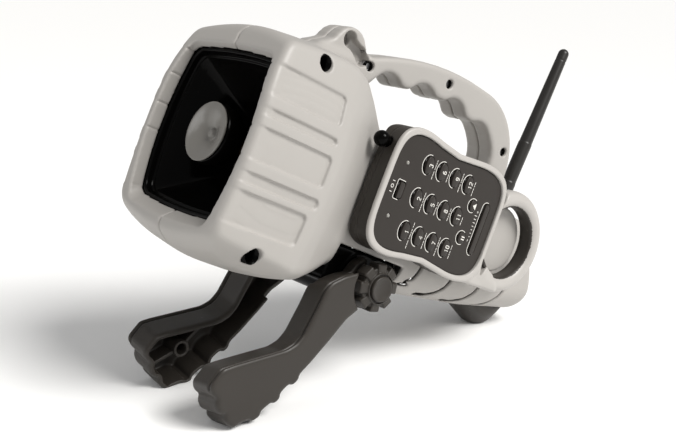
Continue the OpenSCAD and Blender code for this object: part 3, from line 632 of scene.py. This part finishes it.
def make_plug():
    """A bell facing out of the horn, on a black bullet that stands on three vanes."""
    bell = smooth_line([(0.05, 8.6), (1.5, 8.7), (2.3, 9.5), (3.0, 10.3), (3.9, 10.0), (6.0, 8.7),
                        (8.4, 7.5), (11, 6.5), (13.2, 5.9)], 5)
    bell += [(14.0, 5.75), (14.4, 5.9), (14.55, 6.3), (14.4, 6.8), (13.8, 7.2), (11, 8.1), (7.2, 11),
             (5.2, 15), (4.6, 20)]
    points, faces = lathe(bell)
    add_piece("plug_bell", points, faces, "plug_grey", "body", ["phase_plug"])
    bullet = [(4.8, 14), (7.6, 11.2), (11.2, 8.5), (13.6, 7.6)]
    bullet += smooth_line([(14.2, 7.8), (14.9, 9.6), (14.9, 13), (13.6, 17.5), (10.6, 22.5), (7.2, 28),
                           (5.0, 35), (4.2, 44)], 4)
    points, faces = lathe(bullet + [(4.2, 52)])
    add_piece("plug_bullet", points, faces, "gloss_black", "body")
    for k in range(3):
        turn = BODY @ Matrix.Rotation(math.radians(120 * k + 90), 4, "Y")
        points, faces = box_points((3.6, 40, -0.9), (11.6, 49, 0.9))
        add_piece("plug_vane_%d" % (k + 1), points, faces, "gloss_black", "body", place=turn, smooth=False)


def box_points(low, high):
    x0, y0, z0 = low
    x1, y1, z1 = high
    points = [(x0, y0, z0), (x1, y0, z0), (x1, y1, z0), (x0, y1, z0),
              (x0, y0, z1), (x1, y0, z1), (x1, y1, z1), (x0, y1, z1)]
    return points, [(0, 3, 2, 1), (4, 5, 6, 7), (0, 1, 5, 4), (1, 2, 6, 5), (2, 3, 7, 6), (3, 0, 4, 7)]


# ---------- legs and knobs, about the hip ----------

LEG_IN, LEG_OUT, LEG_WALL = 21.0, 39.0, 2.4
LEG_MID = (LEG_IN + LEG_OUT) / 2
LEG_LEAN = math.radians(10)
# Outline in (y, height above the ground) halfway across the leg: the top edge, then the toe's
# blocks and the steps under the shin
LEG_TOP = [(-9, 61), (-20, 60.8), (-28, 59.2), (-31.5, 56.4), (-36, 49), (-44.6, 36.8), (-49, 33.2),
           (-55, 31.4), (-84, 31), (-90.4, 30.6), (-97.2, 24.4)]
LEG_LOW = [(-96.8, 20.2), (-93.8, 17.0), (-94.6, 14.4), (-93.6, 10.6), (-91.2, 8.6), (-89.8, 8.6),
           (-89.8, 5.2), (-86.8, 1.6), (-84.6, 0.4), (-82, 1.6), (-76.6, 2.2), (-74, 0.8), (-70.2, 2.2),
           (-69.4, 4.6), (-64, 7.2), (-61.4, 6.4), (-58.6, 8.0), (-58.2, 10.8), (-53.4, 13.8),
           (-50.6, 12.8), (-47.6, 14.8), (-46.8, 17.4), (-40.4, 21.6), (-28, 31), (-18.7, 38.6), (-9, 43)]
SHIN_BOSS = (-74, 17)
KNOB_R = 12.5
BOLT_HOLE_R = 3.1


def corners_cut(points, share=0.22):
    """An outline with its corners cut off and cut again, so that they turn softly."""
    for _ in range(2):
        out = []
        for a, b in zip(points, points[1:] + points[:1]):
            long = math.dist(a, b)
            s = min(share, 0.9 / long) if long > 0 else share
            out += [(a[0] + (b[0] - a[0]) * s, a[1] + (b[1] - a[1]) * s),
                    (b[0] + (a[0] - b[0]) * s, b[1] + (a[1] - b[1]) * s)]
        points = out
    return points


def leg_field(x, y, z):
    """A right leg: a hollow shell, open on its inner side, with a beaded outer plate."""
    hip_z = HIP.z
    level = (z - (x - LEG_MID) * math.tan(LEG_LEAN)) * math.cos(LEG_LEAN)
    outline = [(a, b - hip_z) for a, b in LEG_TOP + LEG_LOW]
    flat = outline_distance(corners_cut(outline), y, level)
    top = line_distance([(a, b - hip_z) for a, b in LEG_TOP], y, level)
    # A groove between the walls and the outer plate, along the top and the toe
    near_top = 1 - step_up((top - 2.0) / 1.5)
    groove = 1.4 * np.exp(-((x - 36.0) / 0.6) ** 2) - 0.45 * np.exp(-((x - 38.0) / 0.9) ** 2)
    made = soft_both(flat + groove * near_top, np.abs(x - LEG_MID) - (LEG_OUT - LEG_IN) / 2, 2.6)
    hollow = soft_both(flat + LEG_WALL, x - (LEG_OUT - LEG_WALL), 1.5)
    made = cut(made, hollow, 0.6)
    away = np.hypot(y, z)
    made = cut(made, np.maximum(away - 29.5, x - 24.6), 0.4)
    made = cut(made, np.maximum(away - KNOB_R - 2.2, 30.6 - x), 0.8)
    hub = soft_both(away - 13, np.abs(x - 27.8) - 3.2, 0.6)
    made = soft_union(made, hub, 0.6)
    from_boss = np.hypot(y - SHIN_BOSS[0], z + hip_z - SHIN_BOSS[1])
    boss = np.maximum(from_boss - 4.4, np.abs(x - 31.5) - 6.5)
    rib = line_distance([(-90, 12), SHIN_BOSS, (-62, 26)], y, z + hip_z) - 0.9
    rib = np.maximum(np.maximum(rib, np.abs(x - 32) - 5.5), flat + 1)
    made = soft_union(made, np.minimum(boss, rib), 1.0)
    made = cut(made, np.maximum(from_boss - 2.9, x - 34), 0.4)
    made = cut(made, away - BOLT_HOLE_R, 0.3)
    return np.maximum(made, -(z + hip_z))


def make_legs():
    step = 0.5
    low = (19.75, -100, -HIP.z - 1)
    x, y, z = grid(low, (41, 0, 16), step)
    made = leg_field(x, y, z).astype(np.float32)
    points, faces = surface(made, low, step)
    add_piece("leg_shell_right", points, faces, "dark_plastic", "leg_r", ["leg_right"], AT_HIP)
    points[:, 0] *= -1
    add_piece("leg_shell_left", points, faces[:, ::-1], "dark_plastic", "leg_l", ["leg_left"], AT_HIP)


def make_knobs():
    """Clamping knobs: eight flared lobes round a hub, under a dished cap."""
    step = 0.32
    low = (30.6, -14, -14)
    x, y, z = grid(low, (44.6, 14, 14), step)
    away = np.hypot(y, z)
    turn = np.arctan2(z, y) + math.radians(12)
    pitch = math.radians(45)
    turn = (turn + pitch / 2) % pitch - pitch / 2
    out, across = away * np.cos(turn), np.abs(away * np.sin(turn))
    lobe = soft_both(soft_both(out - KNOB_R + 0.15, across - (2.35 + 0.11 * (out - 6)), 0.9),
                     np.abs(x - 36.6) - 4.3 + 0.1 * np.maximum(away - 7, 0), 1.0)
    lobe = np.maximum(lobe, 6 - out)
    hub = soft_both(away - 10.2, np.abs(x - 35.5) - 4.1, 1.0)
    collar = soft_both(away - 8.0, np.abs(x - 38) - 4.1, 0.8)
    cap = soft_both(away - 6.5, np.abs(x - 38) - 5.2, 0.9)
    made = soft_union(np.minimum(lobe, hub), collar, 0.6)
    made = cut(made, np.maximum(np.abs(away - 7.0) - 0.5, 40.8 - x), 0.3)
    made = soft_union(made, cap, 0.2)
    made = cut(made, np.hypot(away, x - 55.2) - 13.4, 0.4)
    made = cut(made, np.maximum(away - BOLT_HOLE_R, x - 39.6), 0.3)
    points, faces = surface(made.astype(np.float32), low, step)
    add_piece("knob_grip_right", points, faces, "dark_plastic", "clamp_knob_r", ["knob_right"], AT_HIP)
    points[:, 0] *= -1
    add_piece("knob_grip_left", points, faces[:, ::-1], "gloss_black", "clamp_knob_l", ["knob_left"],
              AT_HIP)


def make_saddle():
    """The block under the body that both legs hang on."""
    step = 0.6
    low = (-25, HIP_U - 26, -56)
    x, u, v = grid(low, (25, HIP_U + 26, -24), step)
    block = soft_both(rounded_box(u - HIP_U + 0.2, v + 36.4, 23.8, 10.4, 4), np.abs(x) - 23.5, 1.2)
    away = np.hypot(u - HIP_U, v - HIP_V)
    hub = soft_both(away - 13, np.abs(x) - 23.5, 1.2)
    made = soft_union(block, hub, 2)
    made = cut(made, away - BOLT_HOLE_R, 0.3)
    made = cut(made, np.maximum(away - 6.5, np.abs(np.abs(x) - 5) - 3), 0.2)
    points, faces = surface(made.astype(np.float32), low, step)
    add_piece("saddle_block", points, faces, "gloss_black", "body", ["hip_saddle"])


# ---------- remote ----------

REMOTE_C = (124.5, 8.4)
REMOTE_X = 46.0
RIM = 3.0
BEZEL_BACK_X, HOUSING_FRONT_X = 43.6, 43.5
RING_MID_R, RING_X = 23.6, 39.8
FACE_X = REMOTE_X - 1.2
KEY_TOP = FACE_X + 0.35


def remote_outline(inset):
    """The hourglass outline, in (u, v)."""
    out = []
    for k in range(96):
        t = 2 * math.pi * k / 96
        c, s = math.cos(t), math.sin(t)
        du = (44.5 - inset) * math.copysign(abs(c) ** 0.4, c)
        pinch = 3.6 * math.exp(-((du + 2) / 19) ** 2)
        dv = (33 - inset - pinch - du * 0.02) * math.copysign(abs(s) ** 0.4, s)
        out.append((REMOTE_C[0] + du, REMOTE_C[1] + dv))
    return out


def make_bezel(u, v, low, step, outer):
    """The light rim round the face, with the ring that hangs on the dock's post."""
    x = grid(low, (46.8, 0, 0), step)[0]
    inner = outline_distance(remote_outline(RIM), u[0], v[0])[None]
    away = np.hypot(u - RING_C[0], v - RING_C[1])
    ring = soft_both(np.abs(away - RING_MID_R) - 4.6, np.abs(x - RING_X) - 5.7, 5.5)
    web = outline_distance([(150, -22), (166, -21.8), (188, -20.4), (174, -3), (160, -4)], u[0], v[0])
    ring = soft_union(ring, soft_both(web[None], np.abs(x - RING_X) - 5.5, 2), 1.5)
    ring = cut(ring, away - 19, 0.8)
    # A dark sheet just inside the ring's hole: painted shade standing in for the shadow on the ring's inner
    # wall
    painted_shade_sheet = np.maximum(np.maximum(ring - 0.2, away - 20.4), np.abs(x - 39.6) - 4.9)
    painted_shade_sheet = np.maximum(painted_shade_sheet, 170 - u)
    points, faces = surface(painted_shade_sheet.astype(np.float32), low, step)
    add_piece("ring_painted_shade", points, faces, "dark_plastic", "remote")
    # The ring is open where it meets the rim
    mouth = [(140, -2.6), (169.4, -2.6), (169.4, 24), (172.4, 40), (140, 40)]
    ring = cut(ring, outline_distance(mouth, u[0], v[0])[None], 1.0)
    # A wedge-shaped nick where the ring leaves the rim
    nick = outline_distance([(165, -3), (174.5, -8.5), (171, -15.5)], u[0], v[0])[None]
    ring = cut(ring, np.maximum(nick, 42.4 - x), 0.5)
    ring = np.maximum(ring, -np.maximum(outer - 0.2, x - BEZEL_BACK_X))
    rim = soft_both(soft_both(outer, x - REMOTE_X, 1.5), BEZEL_BACK_X - x, 0.3)
    made = soft_union(rim, ring, 1.2)
    made = cut(made, inner, 0.7)
    points, faces = surface(made.astype(np.float32), low, step)
    add_piece("remote_rim_and_ring", points, faces, "rim_grey", "remote", ["remote_bezel"])


def make_housing(u, v, outer, step):
    low = (28.6, 78.5, -28)
    x = grid(low, (44.2, 0, 0), step)[0]
    shell = outer + 0.5
    shell = shell + 0.35 * np.exp(-((x - 36.2) / 0.3) ** 2)
    made = soft_both(shell, 29.4 - x, 1.6)
    made = soft_both(made, x - HOUSING_FRONT_X, 0.3)
    made = np.maximum(made, -np.maximum(outer + 4.2, 31.4 - x))
    bevel = outline_distance([(20, 60), (38.5, 70), (28, 88)], x[:, :, 0], u[0, :, 0][None])
    made = cut(made, bevel[:, :, None], 0.8)
    door = rounded_box(u - 124, v - 8, 26, 16, 1)
    made = cut(made, np.maximum(door, x - 32.4), 0.4)
    for pu, pv in ((88, 29), (88, -12), (160, 24), (160, -8)):
        away = np.hypot(u - pu, v - pv)
        made = np.minimum(made, np.maximum(away - 3, np.abs(x - 32) - 1.5))
        made = cut(made, np.maximum(away - 1.8, x - 31.35), 0.3)
    made = cut(made, np.maximum(np.hypot(x - 37.4, v - 28) - 2.7, u - 88), 0.3)
    points, faces = surface(made.astype(np.float32), low, step)
    add_piece("remote_back", points, faces, "dark_plastic", "remote", ["remote_housing"])


KEY_PITCH = (10.6, 17.3)
KEY_A, KEY_B = 3.6, 4.5
ROUND_KEY_R = 3.05
POWER_A, POWER_B = 2.4, 4.1
ROCKER_R, ROCKER_STRAIGHT = 2.4, 11.5
KEY_GAP = 0.35
POWER_AT, PLAY_AT, PAUSE_AT, VOLUME_AT = (92.6, 8.3), (146.2, 16.8), (146.2, -0.8), (157, 7)
LAMPS = [(91.6, 22), (91.6, -5.4)]
LAMP_R = 1.05


def key_place(n):
    column, row = divmod(n - 1, 3)
    return REMOTE_C[0] + (column - 1.8) * KEY_PITCH[0], REMOTE_C[1] - 0.2 + (row - 1) * KEY_PITCH[1]


def oval_field(u, v, place, a, b):
    return (np.hypot((u - place[0]) / a, (v - place[1]) / b) - 1) * min(a, b)


def make_face():
    step = 0.3
    low = (42.2, 82, -23)
    x, u, v = grid(low, (45.3, 167, 40), step)
    flat = outline_distance(remote_outline(RIM + 0.1), u[0], v[0])[None]
    for n in range(1, 13):
        flat = np.maximum(flat, -oval_field(u, v, key_place(n), KEY_A + KEY_GAP, KEY_B + KEY_GAP))
    for place in (PLAY_AT, PAUSE_AT):
        flat = np.maximum(flat, -oval_field(u, v, place, ROUND_KEY_R + KEY_GAP, ROUND_KEY_R + KEY_GAP))
    flat = np.maximum(flat, -rounded_box(u - POWER_AT[0], v - POWER_AT[1], POWER_A + KEY_GAP,
                                         POWER_B + KEY_GAP, 0.8))
    slot = ROCKER_R + KEY_GAP
    flat = np.maximum(flat, -rounded_box(u - VOLUME_AT[0], v - VOLUME_AT[1], slot,
                                         ROCKER_STRAIGHT + slot, slot))
    for place in LAMPS:
        flat = np.maximum(flat, LAMP_R - np.hypot(u - place[0], v - place[1]))
    made = soft_both(flat, np.abs(x - FACE_X + 1) - 1, 0.5)
    points, faces = surface(made.astype(np.float32), low, step)
    add_piece("face_overlay", points, faces, "face_film", "remote", ["remote_face"])
    dome = ((0.02, 0.35), (0.5, 0.3), (0.8, 0.15), (0.95, -0.1), (0.95, -2.6))
    for k, place in enumerate(LAMPS):
        points, faces = lathe([(r * LAMP_R, FACE_X + h) for r, h in dome], axis_u=False, count=24)
        points = np.stack([points[:, 2], points[:, 0] + place[0], points[:, 1] + place[1]], 1)
        add_piece("lamp_lens_%d" % (k + 1), points, faces, "lamp_lens", "remote",
                  [] if k else ["remote_lamps"])


def plate(outline, x0, x1):
    """A flat plate across X with an outline in (u, v)."""
    flat = np.array(outline, float)
    return loft([np.column_stack([np.full(len(flat), x), flat]) for x in (x0, x1)])


def key_cap(name, body, place, a, b, gap, straight=0.0, square=2.0, crown=0.55):
    """A sprung key: a dome on a black skirt, which fills the gap on its front side with painted shade."""
    t = np.linspace(0, 2 * np.pi, 64, endpoint=False)
    c, s = np.cos(t), np.sin(t)
    across = np.sign(c) * np.abs(c) ** (2 / square)
    along = np.sign(s) * np.abs(s) ** (2 / square)

    def ring(grow, scale, x, front=gap):
        width = np.where(c < 0, a - front, a)
        u = place[0] + 0.35 * (1 - scale) + (width * scale + grow) * across
        v = place[1] + (b * scale + grow) * along + straight * np.sign(s) * min(scale * 1.4, 1)
        return np.column_stack([np.full(t.shape, x), u, v])

    rings = [ring(0.45, 1, 39.7), ring(0.45, 1, 42.35), ring(0, 1, 42.4), ring(0, 1, KEY_TOP - 0.25)]
    for scale in (0.985, 0.95, 0.88, 0.76, 0.6, 0.4, 0.2, 0.02):
        rings.append(ring(0, scale, KEY_TOP - 0.2 + crown * math.sqrt(1 - scale ** 2)))
    points, faces = loft(rings)
    add_piece("cap_of_" + name, points, faces, "key_rubber", body, [name])
    # The black skirt: painted shade that shows in the gap beside the cap
    points, faces = loft([ring(-0.05, 1, 42.5, 0), ring(-0.05, 1, 43.8, 0)])
    add_piece("shade_skirt_of_" + name, points, faces, "gloss_black", body)


def ribbon(points, width, x0, x1):
    """A printed stroke along an open line in (u, v), as a thin closed plate."""
    p = np.array(points, float)
    ahead = np.diff(p, axis=0)
    ahead /= np.linalg.norm(ahead, axis=1)[:, None]
    along = np.vstack([ahead[:1], ahead[:-1] + ahead[1:], ahead[-1:]])
    along /= np.linalg.norm(along, axis=1)[:, None]
    side = np.stack([-along[:, 1], along[:, 0]], 1) * width / 2
    return plate(np.vstack([p + side, (p - side)[::-1]]), x0, x1)


# Digits in strokes on a 2 by 4 grid: x along the reading direction, y upwards
DIGITS = {
    "0": [[(0.5, 0), (1.5, 0), (2, 0.8), (2, 3.2), (1.5, 4), (0.5, 4), (0, 3.2), (0, 0.8), (0.5, 0)]],
    "1": [[(0.4, 3.2), (1.1, 4), (1.1, 0)]],
    "2": [[(0, 3.2), (0.5, 4), (1.5, 4), (2, 3.2), (2, 2.6), (0, 0), (2, 0)]],
    "3": [[(0, 3.5), (0.5, 4), (1.5, 4), (2, 3.3), (2, 2.7), (1.3, 2.1), (2, 1.5), (2, 0.7), (1.5, 0),
           (0.5, 0), (0, 0.5)]],
    "4": [[(1.5, 0), (1.5, 4), (0, 1.2), (2, 1.2)]],
    "5": [[(2, 4), (0.2, 4), (0, 2.3), (1.4, 2.5), (2, 1.8), (2, 0.8), (1.4, 0), (0, 0.2)]],
    "6": [[(1.8, 3.8), (0.8, 4), (0, 2.8), (0, 0.8), (0.5, 0), (1.5, 0), (2, 0.8), (2, 1.6),
           (1.5, 2.3), (0.1, 1.9)]],
    "7": [[(0, 4), (2, 4), (0.8, 0)]],
    "8": [[(1, 2.1), (0.2, 2.8), (0.2, 3.5), (0.6, 4), (1.4, 4), (1.8, 3.5), (1.8, 2.8), (1, 2.1), (0, 1.3),
           (0, 0.6), (0.5, 0), (1.5, 0), (2, 0.6), (2, 1.3), (1, 2.1)]],
    "9": [[(1.9, 2.1), (0.5, 1.7), (0, 2.4), (0, 3.3), (0.5, 4), (1.5, 4), (2, 3.2), (2, 1.2),
           (1.3, 0), (0.3, 0.2)]],
}
DIGIT_SIZE = 0.65
PRINT_W = 0.34
# Length of the label beside each number key
LABEL_LENGTH = (14, 10, 10, 8.4, 7, 6.2, 10, 6.6, 10, 7.2, 5, 7.6)


def printed(name, lines, x, body="remote", width=PRINT_W, thick=0.07):
    """White strokes laid on a surface at x, gathered into one piece."""
    points, faces = [], []
    for line in lines:
        more, quads = ribbon(line, width, x - 0.02, x + thick)
        faces += [[i + sum(map(len, points)) for i in face] for face in quads]
        points.append(more)
    add_piece(name, np.concatenate(points), faces, "print_white", body, smooth=False)


def oval_line(place, a, b, start, end):
    return [(place[0] + a * math.cos(math.radians(t)), place[1] + b * math.sin(math.radians(t)))
            for t in np.linspace(start, end, 30)]


def dashes(u, v0, v1):
    """A label shown as a plain row of short strokes, with a gap in long ones."""
    out, v, k = [], v0, 0
    while v < v1 - 0.5:
        long = (1.5, 0.9, 1.2, 0.8)[k % 4]
        out.append([(u, v), (u, min(v + long, v1))])
        v += long + (0.75 if k % 4 == 2 else 0.3)
        k += 1
    return out


def make_keys_and_prints():
    marks = []
    for n in range(1, 13):
        place = key_place(n)
        key_cap("key_%d" % n, "cap_key_%d" % n, place, KEY_A, KEY_B, 1.9)
        marks.append(oval_line(place, KEY_A + 0.65, KEY_B + 0.65, 82, 278))
        half = LABEL_LENGTH[n - 1] / 2
        marks += dashes(place[0] + 5.15, place[1] - 0.8 - half, place[1] - 0.8 + half)
        digits = str(n)
        lines = []
        for k, digit in enumerate(digits):
            start = place[1] + (k - (len(digits) - 1) / 2) * 1.95 - DIGIT_SIZE
            for line in DIGITS[digit]:
                lines.append([(place[0] + 1.35 - (y - 2) * 0.62, start + x * DIGIT_SIZE) for x, y in line])
        printed("digit_%d" % n, lines, KEY_TOP + 0.33, "cap_key_%d" % n, 0.44, 0.06)
    key_cap("play_key", "cap_play_key", PLAY_AT, ROUND_KEY_R, ROUND_KEY_R, 1.3)
    key_cap("pause_key", "cap_pause_key", PAUSE_AT, ROUND_KEY_R, ROUND_KEY_R, 1.3)
    for place in (PLAY_AT, PAUSE_AT):
        marks.append(oval_line(place, 3.7, 3.7, 60, 300))
    u, v = PLAY_AT
    arrow = [(u - 0.4, v), (u + 2.0, v + 1.7), (u + 2.0, v - 1.7)]
    points, faces = plate(arrow, KEY_TOP + 0.28, KEY_TOP + 0.40)
    add_piece("play_mark", points, faces, "print_white", "cap_play_key", smooth=False)
    u, v = PAUSE_AT
    bars = [[(u - 0.2, v + s), (u + 2.2, v + s)] for s in (-0.65, 0.65)]
    printed("pause_mark", bars, KEY_TOP + 0.31, "cap_pause_key", 0.62)
    key_cap("power_key", "cap_power_key", POWER_AT, POWER_A, POWER_B, 1.6, square=5, crown=0.3)
    u, v = POWER_AT
    marks.append([(u + 2.1, v + 4.9), (u - 2.4, v + 4.9), (u - 3.0, v + 4.3), (u - 3.0, v - 4.3),
                  (u - 2.4, v - 4.9), (u + 0.8, v - 4.9)])
    # Power marks: a bar and an open ring; level marks: a rising row beside the rocker
    marks.append([(u - 6.4, v - 2.4), (u - 4.8, v - 2.4)])
    marks.append(oval_line((u - 5.6, v + 0.4), 0.8, 0.8, 0, 350))
    marks.append([(u - 6.4, v + 3.0), (u - 4.8, v + 3.0)])
    key_cap("volume_rocker", "rocker", VOLUME_AT, ROCKER_R, ROCKER_R, 1.5,
            straight=ROCKER_STRAIGHT, crown=0.3)
    u, v = VOLUME_AT
    marks.append(arc((u, v + ROCKER_STRAIGHT), 3.1, 80, 180, 8)
                 + arc((u, v - ROCKER_STRAIGHT), 3.1, 180, 280, 8))
    for k in range(7):
        rise = 0.7 + 0.22 * k
        marks.append([(u - 4.5, v - 5.6 + 1.9 * k), (u - 4.5 - rise, v - 5.6 + 1.9 * k)])
    marks.append([(u - 5.2, v - 8.2), (u - 5.2, v - 7.2)])
    marks.append([(u - 5.2, v + 7.3), (u - 5.2, v + 8.5)])
    marks.append([(u - 5.8, v + 7.9), (u - 4.6, v + 7.9)])
    printed("face_prints", marks, FACE_X)


def make_remote():
    step = 0.4
    low = (33.2, 78.5, -28)
    u, v = grid(low, (46.8, 213.5, 43), step)[1:]
    outer = outline_distance(remote_outline(0), u[0], v[0])[None]
    make_bezel(u, v, low, step, outer)
    # The housing ends before the ring, so it's made on a shorter grid
    near = slice(0, int((171 - low[1]) / step))
    make_housing(u[:, near], v, outer[:, near], step)
    make_face()
    make_keys_and_prints()


# ---------- antenna, foot and door ----------

def make_antenna():
    step = 0.33
    length = 97.0
    low = (-5.6, -5.6, -5.6)
    x, y, z = grid(low, (5.6, 5.6, length + 1), step)
    away = np.hypot(x, y)
    knuckle = soft_both(np.hypot(y, z) - 4.4, np.abs(x) - 4.6, 0.8)
    collar = soft_both(away - 4.4, np.abs(z - 6) - 3.4, 0.6)
    made = soft_union(knuckle, collar, 0.6)
    made = cut(made, np.maximum(np.abs(x) - 2.3, z - 5.4), 0.4)
    made = np.minimum(made, np.maximum(np.hypot(y, z) - 1.22, np.abs(x) - 4))
    sleeve = soft_both(away - 4.15, np.abs(z - 22) - 13, 0.7)
    taper = 3.9 - 0.7 * np.clip((z - 35) / (length - 38), 0, 1)
    whip = np.where(z < length - 3.2, away - taper, np.hypot(away, z - length + 3.2) - 3.2)
    whip = np.maximum(whip, 9 - z) + 0.22 * np.exp(-((z - length + 7.5) / 0.3) ** 2)
    made = np.minimum(np.minimum(made, sleeve), whip)
    points, faces = surface(made.astype(np.float32), low, step)
    lean = Matrix.Rotation(math.radians(-4.1), 4, "X")
    place = BODY @ Matrix.Translation((0, ANTENNA_U, ANTENNA_V)) @ lean
    add_piece("whip", points, faces, "antenna_black", "antenna", ["antenna_whip"], place=place)


def make_foot():
    """The cone under the tail, bored for a tripod's thread."""
    step = 0.45
    foot_y = 195 - MOUTH_BACK
    low = (-15.5, foot_y - 28, -0.9)
    x, y, z = grid(low, (15.5, foot_y + 28, 24), step)
    away = np.hypot(x, y - foot_y)
    # 0.766 turns a distance along the radius into one square to the slope
    cone = (away - 7.4 - 0.84 * z) * 0.766
    made = soft_both(soft_both(cone, np.abs(x) - 14, 2.5), -z, 2.0)
    dy, dz = y + MOUTH_BACK, z - HEAD_Z
    u = dy * math.cos(TILT) - dz * math.sin(TILT)
    v = dy * math.sin(TILT) + dz * math.cos(TILT)
    made = np.maximum(made, -body_field(x, u, v, 0.3))
    made = cut(made, np.maximum(away - 4.6, z - 9), 0.3)
    made = cut(made, np.hypot(np.hypot(x - 10.4, y - foot_y - 3.4), z - 7) - 1.5, 0.3)
    points, faces = surface(made.astype(np.float32), low, step)
    add_piece("foot_cone", points, faces, "dark_plastic", "body", ["rear_foot"], place=Matrix())


def make_door():
    """The battery door, with a hinge pin along its lower edge and a row of shallow grooves across its
    middle.
    """
    step = 0.45
    low = (-30.4, 133, -15.5)
    x, u, v = grid(low, (-25.2, 233, 18.2), step)
    slab = soft_both(rounded_box(u - 183, v - 1.75, 48.6, 14.85, 1.2), np.abs(x + 27) - 1.0, 0.5)
    hinge = np.maximum(np.hypot(x + 26.7, v + 11.8) - 0.9, np.abs(u - 183) - 50.6)
    made = np.minimum(slab, hinge)
    for k in range(12):
        made = made + 0.3 * np.exp(-((u - 140 - 7.8 * k) / 0.5) ** 2) * (x < -27.2) * (np.abs(v) < 8)
    points, faces = surface(made.astype(np.float32), low, step)
    add_piece("door_panel", points, faces, "case_grey", "power_door", ["battery_door"])


# ---------- scene ----------

make_camera()
make_studio()
dress_cad_nodes()
make_case()
make_screw_wells()
make_horn()
make_plug()
make_legs()
make_knobs()
make_saddle()
make_remote()
make_antenna()
make_foot()
make_door()
